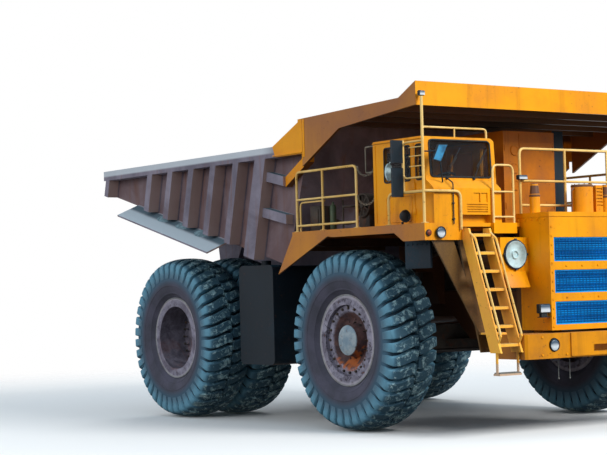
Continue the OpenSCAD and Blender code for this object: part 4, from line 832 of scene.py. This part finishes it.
bowls.append(block((7.755, -3.22, 5.392), (7.815, -3.11, 5.475), 0.014))
lenses.append(block((7.815, -3.212, 5.4), (7.828, -3.118, 5.467), 0.004))
lamp_bowls = settle(bowls, "lamp_bowls", BLACK)
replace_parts(lamp_bowls, "lamps")
settle(bezels, "lamp_bezels", SHELL)
settle(lenses, "lamp_lenses", LAMP)
settle(markers, "marker_lenses", AMBER_LENS)
print("lamps made")

# %% [markdown]
# ## Cab
# Rubber seals hold the panes, a gutter runs along the roof, and the outer side has a door of its own
# with a recessed handle. The spot lamp, the wipers and the stand pipe are bolted on.

# %% Seals, gutter, door lines and wipers
seals = [ring_tube(on_y(-3.004, (low, 4.1), (high, 4.1), (high, 4.66), (low, 4.66)), 0.013, 0.05)
         for low, high in ((6.59, 7.26), (7.41, 7.56))]
front = [(7.652, -2.9, 4.14), (7.652, -1.64, 4.14), (7.616, -1.64, 4.728), (7.616, -2.9, 4.728)]
seals += [ring_tube(front, 0.015, 0.07),
          ring_tube(on_x(6.286, (-2.75, 4.18), (-1.79, 4.18), (-1.79, 4.61), (-2.75, 4.61)), 0.014, 0.06)]
settle(seals, "window_seals", BLACK)
trims = [block((6.29, y, 4.748), (7.56, y + 0.023, 4.764), 0.004) for y in (-3.022, -1.541)]
trims += [tube([(6.36, -3.003, 3.46), (6.36, -3.003, 4.72)], 0.006),
          ring_tube(on_y(-3.002, (6.62, 3.45), (7.28, 3.45), (7.28, 3.86), (6.62, 3.86)), 0.007, 0.05),
          tube([(7.36, -3.003, 3.43), (7.36, -3.003, 4.72)], 0.008)]
trims += [block((7.33, -3.018, z), (7.39, -2.999, z + 0.1)) for z in (3.55, 3.95, 4.35)]
trims.append(tube(on_x(6.7, (-2.999, 3.62), (-3.045, 3.62), (-3.045, 3.8), (-2.999, 3.8)), 0.011, 0.03))
settle(trims, "cab_trims", AMBER)
SPOT = (7.18, -3.13, 3.53)
SPOT_BOWL = [(0, 0), (0.04, 0.004), (0.078, 0.03), (0.098, 0.07), (0.103, 0.092), (0.097, 0.094), (0.088, 0.066),
             (0.06, 0.036), (0, 0.028)]
PIVOT = [(0, -0.012), (0.024, -0.012), (0.024, 0.014), (0.015, 0.026), (0, 0.026)]
wipers = []
for y in (-2.58, -2.02):
    wipers += [tube([(7.672, y, 4.125), (7.668, y + 0.1, 4.32), (7.655, y + 0.22, 4.46)], 0.007, 0.1),
               tube([(7.664, y + 0.06, 4.3), (7.64, y + 0.3, 4.6)], 0.009),
               turned(PIVOT, (7.66, y, 4.118), 20, "X")]
wipers += [turned(SPOT_BOWL, SPOT, 36, "X"), tube([(7.19, -3.13, 3.44), (7.19, -3.13, 3.403)], 0.02)]
settle(wipers, "wipers_and_spot", BLACK)
lens = turned([(0, 0.064), (0.05, 0.061), (0.084, 0.052), (0.084, 0.046), (0, 0.04)], SPOT, 36, "X")
settle([lens], "spot_lens", SHELL)
pipe = [tube(on_y(-2.62, (7.852, 3.38), (7.852, 4.03), (7.7, 4.12)), 0.01, 0.04)]
pipe += [block((7.829, -2.64, z), (7.864, -2.6, z + 0.02), 0.003) for z in (3.45, 3.7)]
settle(pipe, "stand_pipe", BLACK)
print("cab dressed")

# %% [markdown]
# ## Ladders
# Each rung carries a grip strip, punched so that its teeth bite a muddy boot, and the hanging step
# has a grey tread. The strip is one tooth repeated.

# %% Grip strips
RUNGS, FIRST_RUNG_Z, RUNG_PITCH = 7, 1.47, 0.2883
TOP_X, TOP_Z, LEAN = 7.88, 3.28, 0.65 / 1.93  # the ladder's head, and how far it leans out per metre down
STEP_Z = 1.031
grips, treads = [], []
for s in SIDES:
    y = s * LADDER_Y
    for z in [FIRST_RUNG_Z + i * RUNG_PITCH for i in range(RUNGS)]:
        x = TOP_X + LEAN * (TOP_Z - z)
        tooth = block((x - 0.085, y - 0.175, z + 0.016), (x + 0.098, y - 0.165, z + 0.026), 0)
        grips += [row(tooth, 10, (0, 0.038, 0)),
                  block((x - 0.088, y - 0.18, z + 0.0145), (x + 0.102, y + 0.18, z + 0.0175), 0),
                  block((x + 0.0995, y - 0.18, z - 0.012), (x + 0.103, y + 0.18, z + 0.016), 0)]
    treads.append(block((8.475, y - 0.215, STEP_Z), (8.615, y + 0.215, STEP_Z + 0.01), 0.003))
    bar = block((8.48, y - 0.21, STEP_Z + 0.01), (8.49, y + 0.21, STEP_Z + 0.018), 0)
    treads.append(row(bar, 6, (0.024, 0, 0)))
settle(grips, "rung_grips", CREAM, smooth=0)
settle(treads, "step_treads", HOIST, smooth=0)
print("grips made")

# %% [markdown]
# ## Handrails
# The rails are tube bent cold round a former, so their corners are radiused, not mitred, and every
# post is welded to a foot plate with two bolts. They replace the solids' rails on the same paths.

# %% Bent rails with foot plates
feet = []


def foot(x, y):
    feet.append(block((x - 0.05, y - 0.04, DECK_Z + 0.0005), (x + 0.05, y + 0.04, DECK_Z + 0.009), 0.003))
    feet.append(bolts([(x - 0.036, y, DECK_Z + 0.013), (x + 0.036, y, DECK_Z + 0.013)], 0.011, 0.01, "Z"))


def fence(points, posts, top, *levels):
    head = [(x, y, DECK_Z + top) for x, y in points]
    made = [tube([(*points[0], DECK_Z), *head, (*points[-1], DECK_Z)], 0.0235, 0.1)]
    for h in levels:
        made.append(tube([(x, y, DECK_Z + h) for x, y in points], 0.021, 0.08))
    for x, y in posts:
        made.append(tube([(x, y, DECK_Z), (x, y, DECK_Z + top)], 0.0225))
    for x, y in [points[0], points[-1], *posts]:
        foot(x, y)
    return made


rails = []
for s in SIDES:
    y, inner = s * FENCE_Y, s * 3.09
    rails += fence([(4.27, y), (6, y)], [(5.04, y)], 1.03, 0.55, 0.1)
    rails.append(tube(on_y(inner, (4.3, 3.4), (4.3, 3.905), (5.015, 3.905)), 0.018, 0.1))
rails += fence([(7.66, -1.03), (7.66, 1.91), (7.77, 1.91)], [(7.66, -0.02), (7.66, 0.96)], 1.23, 0.7, 0.3)
rails += fence([(7.77, 2.5), (7.77, FENCE_Y), (6.7, FENCE_Y)], [(7.29, FENCE_Y)], 1.23, 0.7, 0.3)
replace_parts(settle(rails, "deck_handrails", CREAM), "deck_rails")
side = CAB_RAIL_Y
front = [(6.89, side, 3.4), (6.89, side, 3.9), (7.86, side, 3.9), (7.86, -2.48, 3.9), (7.86, -2.48, 3.32)]
loops = [tube(front, 0.0235, 0.12),
         block((7.831, -2.492, 3.292), (7.88, -2.468, 3.325), 0.003),
         tube([(7.79, side, 3.4), (7.79, side, 5.39)], 0.0235),
         tube(on_x(7.866, (-1.805, 3.4), (-1.805, 4.33), (-1.37, 4.33), (-1.37, 3.4)), 0.0195, 0.11),
         tube(on_x(7.5, (-2.94, 4.79), (-2.94, 4.94), (-1.6, 4.94), (-1.6, 4.79)), 0.0185, 0.1),
         tube([(7.5, -2.27, 4.79), (7.5, -2.27, 4.94)], 0.014),
         tube(on_y(side, (7.79, 4.12), (7.29, 4.12), (7.29, 4.69), (7.79, 4.69)), 0.0155, 0.11),
         tube([(7.29, side, 3.91), (7.29, side, 4.73)], 0.0225)]
loops += [tube([(7.866, -1.805, z), (7.866, -1.37, z)], 0.0165) for z in (3.9, 3.495)]
loops += [tube([(7.45, side, z), (7.79, side, z)], 0.01) for z in (4.3, 4.46, 4.6)]
foot(6.89, side)
foot(7.78, -3.15)
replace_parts(settle(loops, "cab_handrails", CREAM), "cab_rails")
settle(feet, "post_feet", CREAM, smooth=0)
edges = [tube(on_y(y, (8.575, 1.48), (8.66, 1.61), (8.119, 3.14), (7.97, 3.25)), 0.0178, 0.1)
         for y in (-1.99, -2.42, 1.99, 2.42)]
settle(edges, "ladder_handrails", CREAM)
print("handrails made")

# %% [markdown]
# ## Mirrors and cabinets
# The mirror glass lies in the rear of each housing. An oval mirror hangs beside them and a tilted pane
# has the sky painted on it, a painted reflection. Round covers with four screws close the ports of the
# cabinet's inboard door, a duct is skinned in dark sheet and rubber flaps hang behind the lamps.

# %% Mirror glass, covers, latches and flaps
panes = [block((7.266, -3.384, low), (7.272, -3.206, high), 0) for low, high in ((3.846, 4.274), (4.386, 4.714))]
settle(panes, "mirror_panes", CHROME, smooth=0)
oval = turned([(0, 0.022), (0.04, 0.02), (0.062, 0.014), (0.066, 0.022), (0.072, 0.018), (0.074, 0),
               (0.066, -0.014), (0, -0.018)], (0, 0, 0), 40, "X")
oval.scale, oval.location = (1, 1, 1.9), (7.15, -3.355, 4.23)
bake_place(oval)
arm = tube([(7.14, -3.355, 4.34), (7.14, -3.3, 4.4), (7.285, -3.165, 4.4)], 0.009, 0.05)
settle([oval, arm], "oval_mirror", COVER)
tilted = plate(on_x(7.9155, (-2.937, 4.617), (-2.777, 4.617), (-2.909, 4.365), (-3.048, 4.393)), (0.004, 0, 0))
# Painted reflection: the tilted pane is painted sky blue
settle([tilted], "tilted_mirror_pane", SKY_REFLECTION_PAINT, smooth=0)
COVER_Y = -0.175
PORT = [(0, 0.01), (0.06, 0.01), (0.066, 0.016), (0.088, 0.016), (0.094, 0.01), (0.094, -0.002), (0, -0.002)]
covers = []
for z in (4.71, 4.4, 4.11):
    c = (6.6, COVER_Y, z)
    covers += [turned(PORT, c, 36, "X"), around(bolts([(6.618, COVER_Y, z + 0.077)], 0.007, 0.006), 4, c, "X")]
covers += [tube([(6.606, y, z - 0.05), (6.606, y, z + 0.05)], 0.012) for y in (-0.4, 0.72) for z in (3.75, 4.75)]
covers += [block((6.6, y - 0.012, 4.16), (6.618, y + 0.012, 4.28), 0.004) for y in (-0.1, 0.02)]
settle(covers, "cabinet_covers", OCHRE)
duct = [block((6.546, 0.752, 3.401), (6.556, 1.012, 5.078), 0.003),
        block((5.19, 1.009, 3.401), (6.552, 1.014, 5.078), 0.002)]
settle(duct, "duct_skin", SHELL)
flaps = []
for y in (-2.88, 2.88):
    flaps.append(block((6.945, y - 0.024, 2.696), (7.585, y + 0.024, 3.136), 0.008))
    flaps.append(bolts([(x, y - 0.03, 3.08) for x in (7.02, 7.14, 7.26, 7.38, 7.5)], 0.016, 0.014, "Y"))
settle(flaps, "wheel_flaps", TANK)
print("mirrors and cabinets dressed")

# %% [markdown]
# ## Fittings on the deck, seams and dirt
# Behind the near rail stand the brakes' blower, a valve box, a bottle and their pipes, all black with
# dust. The canopy's cheek is two plates with a welded seam and a flange below. Spill from loading
# lies in heaps on the shelves over the rear wheels, in the bays between the ribs.

# %% Blower, boxes, seams and heaps
ON_DECK = DECK_Z + 0.001
BLOWER = (5.48, -2.62, 3.8)
shell = [(0.205, 0.16), (0.205, -0.02), (0.19, -0.03), (0.176, -0.02), (0.172, 0.06), (0, 0.06)]
stand = [(5.15, -2.8, ON_DECK), (5.15, -2.8, 3.93), (5.15, -2.8, 3.79), (5.4, -2.8, 3.79), (5.4, -2.66, 3.79)]
hose = [(4.68, -2.72, 3.62), (4.86, -2.66, 3.56), (5.05, -2.66, 3.5), (5.34, -2.62, 3.54)]
blower = [
    turned(shell, BLOWER, 56), around(block((5.468, -2.64, 3.83), (5.492, -2.625, 3.965), 0.004), 9, BLOWER),
    turned([(0, -0.045), (0.045, -0.04), (0.05, 0), (0.05, 0.05)], BLOWER, 32),
    block((5.34, -2.6, ON_DECK), (5.62, -2.48, 3.66), 0.012), block((4.38, -2.95, ON_DECK), (4.68, -2.62, 3.84), 0.02),
    block((4.42, -2.952, 3.5), (4.64, -2.965, 3.78), 0.004), tube(stand, 0.017, 0.05), tube(hose, 0.022, 0.12)]
settle(blower, "deck_fittings", IRON)
bottle = turned([(0, 0), (0.052, 0), (0.056, 0.01), (0.056, 0.4), (0.04, 0.44), (0.018, 0.455), (0.018, 0.49),
                 (0, 0.49)], (4.86, -2.8, ON_DECK), 32, "Z")
settle([bottle], "deck_bottle", BOTTLE)
vane = ring_tube(on_y(-2.93, (5.995, 4.31), (6.275, 4.31), (6.275, 4.735), (5.995, 4.735)), 0.013, 0.03)
settle([vane], "rear_vane", CHAIN)
seams = []
for s in SIDES:
    seams += [tube([(4.555, s * 3.2005, 4.64), (4.555, s * 3.2005, 5.31)], 0.009),
              block((4.575, s * 3.199, 4.68), (4.625, s * 3.206, 5.33), 0.002),
              block((3.66, s * 3.199, 4.755), (4.545, s * 3.222, 4.775), 0.003)]
settle(seams, "canopy_seams", AMBER, "bed")
heaps = []
for s in SIDES:
    for i, (x, z) in enumerate(((-0.5, 3.8), (0.17, 3.61), (0.88, 3.44))):
        clear()
        mesh.primitive_ico_sphere_add(subdivisions=4, radius=1, location=(x, s * 3.03, z - 0.03))
        heap = bpy.context.object
        heap.scale = (0.27, 0.15, 0.15 + 0.01 * i)
        bake_place(heap)
        ops.mode_set(mode="EDIT")
        bpy.ops.transform.vertex_random(offset=0.01, seed=11 + i)
        ops.mode_set(mode="OBJECT")
        heaps.append(heap)
settle(heaps, "spill_heaps", SPILL, "bed", smooth=60)
print("deck fittings, seams and heaps made")

# %% [markdown]
# ## Chains
# Two chains close the gap between the rail and the cab. A link is a bent bar, longer than it is wide,
# and each stands square to the next along the half circle that the chain hangs in.

# %% Links along the hanging curve
LINK_PITCH = 0.048
UP = Vector((0, 0, 1))


def chain(a, b):
    flat, half = b - a, (b - a).length / 2
    count = round(math.pi * half / LINK_PITCH)
    made = []
    for i in range(count):
        t = math.pi * (i + 0.5) / count
        centre = (a + b) / 2 - flat * 0.5 * math.cos(t) - UP * half * math.sin(t)
        along = (flat.normalized() * math.sin(t) - UP * math.cos(t)).normalized()
        across = flat.normalized().cross(UP)
        p, q = along * 0.032, (across if i % 2 else along.cross(across)) * 0.011
        made.append(ring_tube([centre - p - q, centre - p + q, centre + p + q, centre + p - q], 0.0045, 0.012, 1))
    return made


links = []
for height in (1, 0.52):
    start, end = Vector((6.0243, -3.14, DECK_Z + height)), Vector((6.2897, -2.97, DECK_Z + height))
    along = (end - start).normalized()
    links += chain(start + along * 0.012, end - along * 0.012)
    for p, reach in ((start, 0.02), (end, -0.02)):
        links.append(ring_tube([p - UP * 0.018, p + UP * 0.018, p + along * reach], 0.005, 0.008, 1))
gate = settle(links, "gate_chain_links", CHAIN)
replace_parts(gate, "gate_chains")
print("chains made")

# %% [markdown]
# The photograph is taken from the right front corner with a long lens, standing some 30 m away with
# the eye at 2.4 m. A lens of 100 mm on a 36 mm sensor gives the same picture.

# %% Camera
EYE = Vector((25.189, -19.706, 2.441))
right, up, ahead = (0.57058, 0.82085, -0.02489), (0.0434, 0.00012, 0.99903), (-0.82008, 0.57112, 0.03556)
ops.camera_add(location=EYE)
camera = bpy.context.object
camera.matrix_world = Matrix((*[(r, u, -a, e) for r, u, a, e in zip(right, up, ahead, EYE)], (0, 0, 0, 1)))
camera.data.sensor_width = 36
camera.data.lens = 99.82
camera.data.clip_end = 400
bpy.context.scene.camera = camera
print("camera at", [round(v, 2) for v in EYE])

# %% [markdown]
# The light is that of an open pit under a pale sky: a big soft key ahead of the truck, a weak fill on
# its side, blue sky above and dark ground below. Camera rays see white beyond the floor, which thins
# out away from the truck, so the background is white without any more light on the paint.

# %% Floor, world and lamps
ops.select_all(action="DESELECT")
mesh.primitive_plane_add(size=80, location=(0, 0, -0.002))
floor = bpy.context.object
floor.name = "studio_floor"
ground = Finish("pale_floor")
from_middle = ((ground.axis("X") ** 2) + (ground.axis("Y") ** 2)) ** 0.5
floor.data.materials.append(ground.done("f0f0ee", 0.9, Alpha=1 - from_middle.band(9, 24)))
floor.visible_diffuse = False

world = bpy.data.worlds.new("studio")
bpy.context.scene.world = world
world.use_nodes = True
sky = Nodes(world.node_tree)
sky.nodes.remove(sky.nodes["Background"])
towards = sky.add("SeparateXYZ", {0: sky.add("TexCoord", output="Generated")}, "Z")
height = sky.add("MapRange", {"Value": towards, "From Min": -0.12, "From Max": 0.12})
tone = sky.mix(height, (0.16, 0.13, 0.11), (0.72, 0.86, 1))
soft = sky.add("Background", {"Color": tone, "Strength": 0.62})
white = sky.add("Background", {"Color": (1, 1, 1), "Strength": 1})
seen, *others = [sky.add("LightPath", output=ray) for ray in ("Is Camera Ray", "Is Glossy Ray", "Is Transmission Ray")]
for ray in others:
    seen = sky.math("MAXIMUM", seen, ray)
sky.feed(sky.nodes["World Output"].inputs["Surface"], sky.add("MixShader", {0: seen, 1: soft, 2: white}))


LIT_POINT = Vector((0, 0, 2))


def soft_lamp(name, place, size, watts):
    ops.light_add(type="AREA", location=place)
    lamp = bpy.context.object
    lamp.name = name
    lamp.data.size = size
    lamp.data.energy = watts
    lamp.rotation_euler = (LIT_POINT - Vector(place)).to_track_quat("-Z", "Y").to_euler()


soft_lamp("key", (26, 4, 18), 10, 8000)
soft_lamp("side_fill", (2, -26, 12), 14, 2300)
soft_lamp("back_fill", (-20, 14, 16), 14, 1500)
bpy.context.scene.view_settings.view_transform = "Standard"
print("stage set")
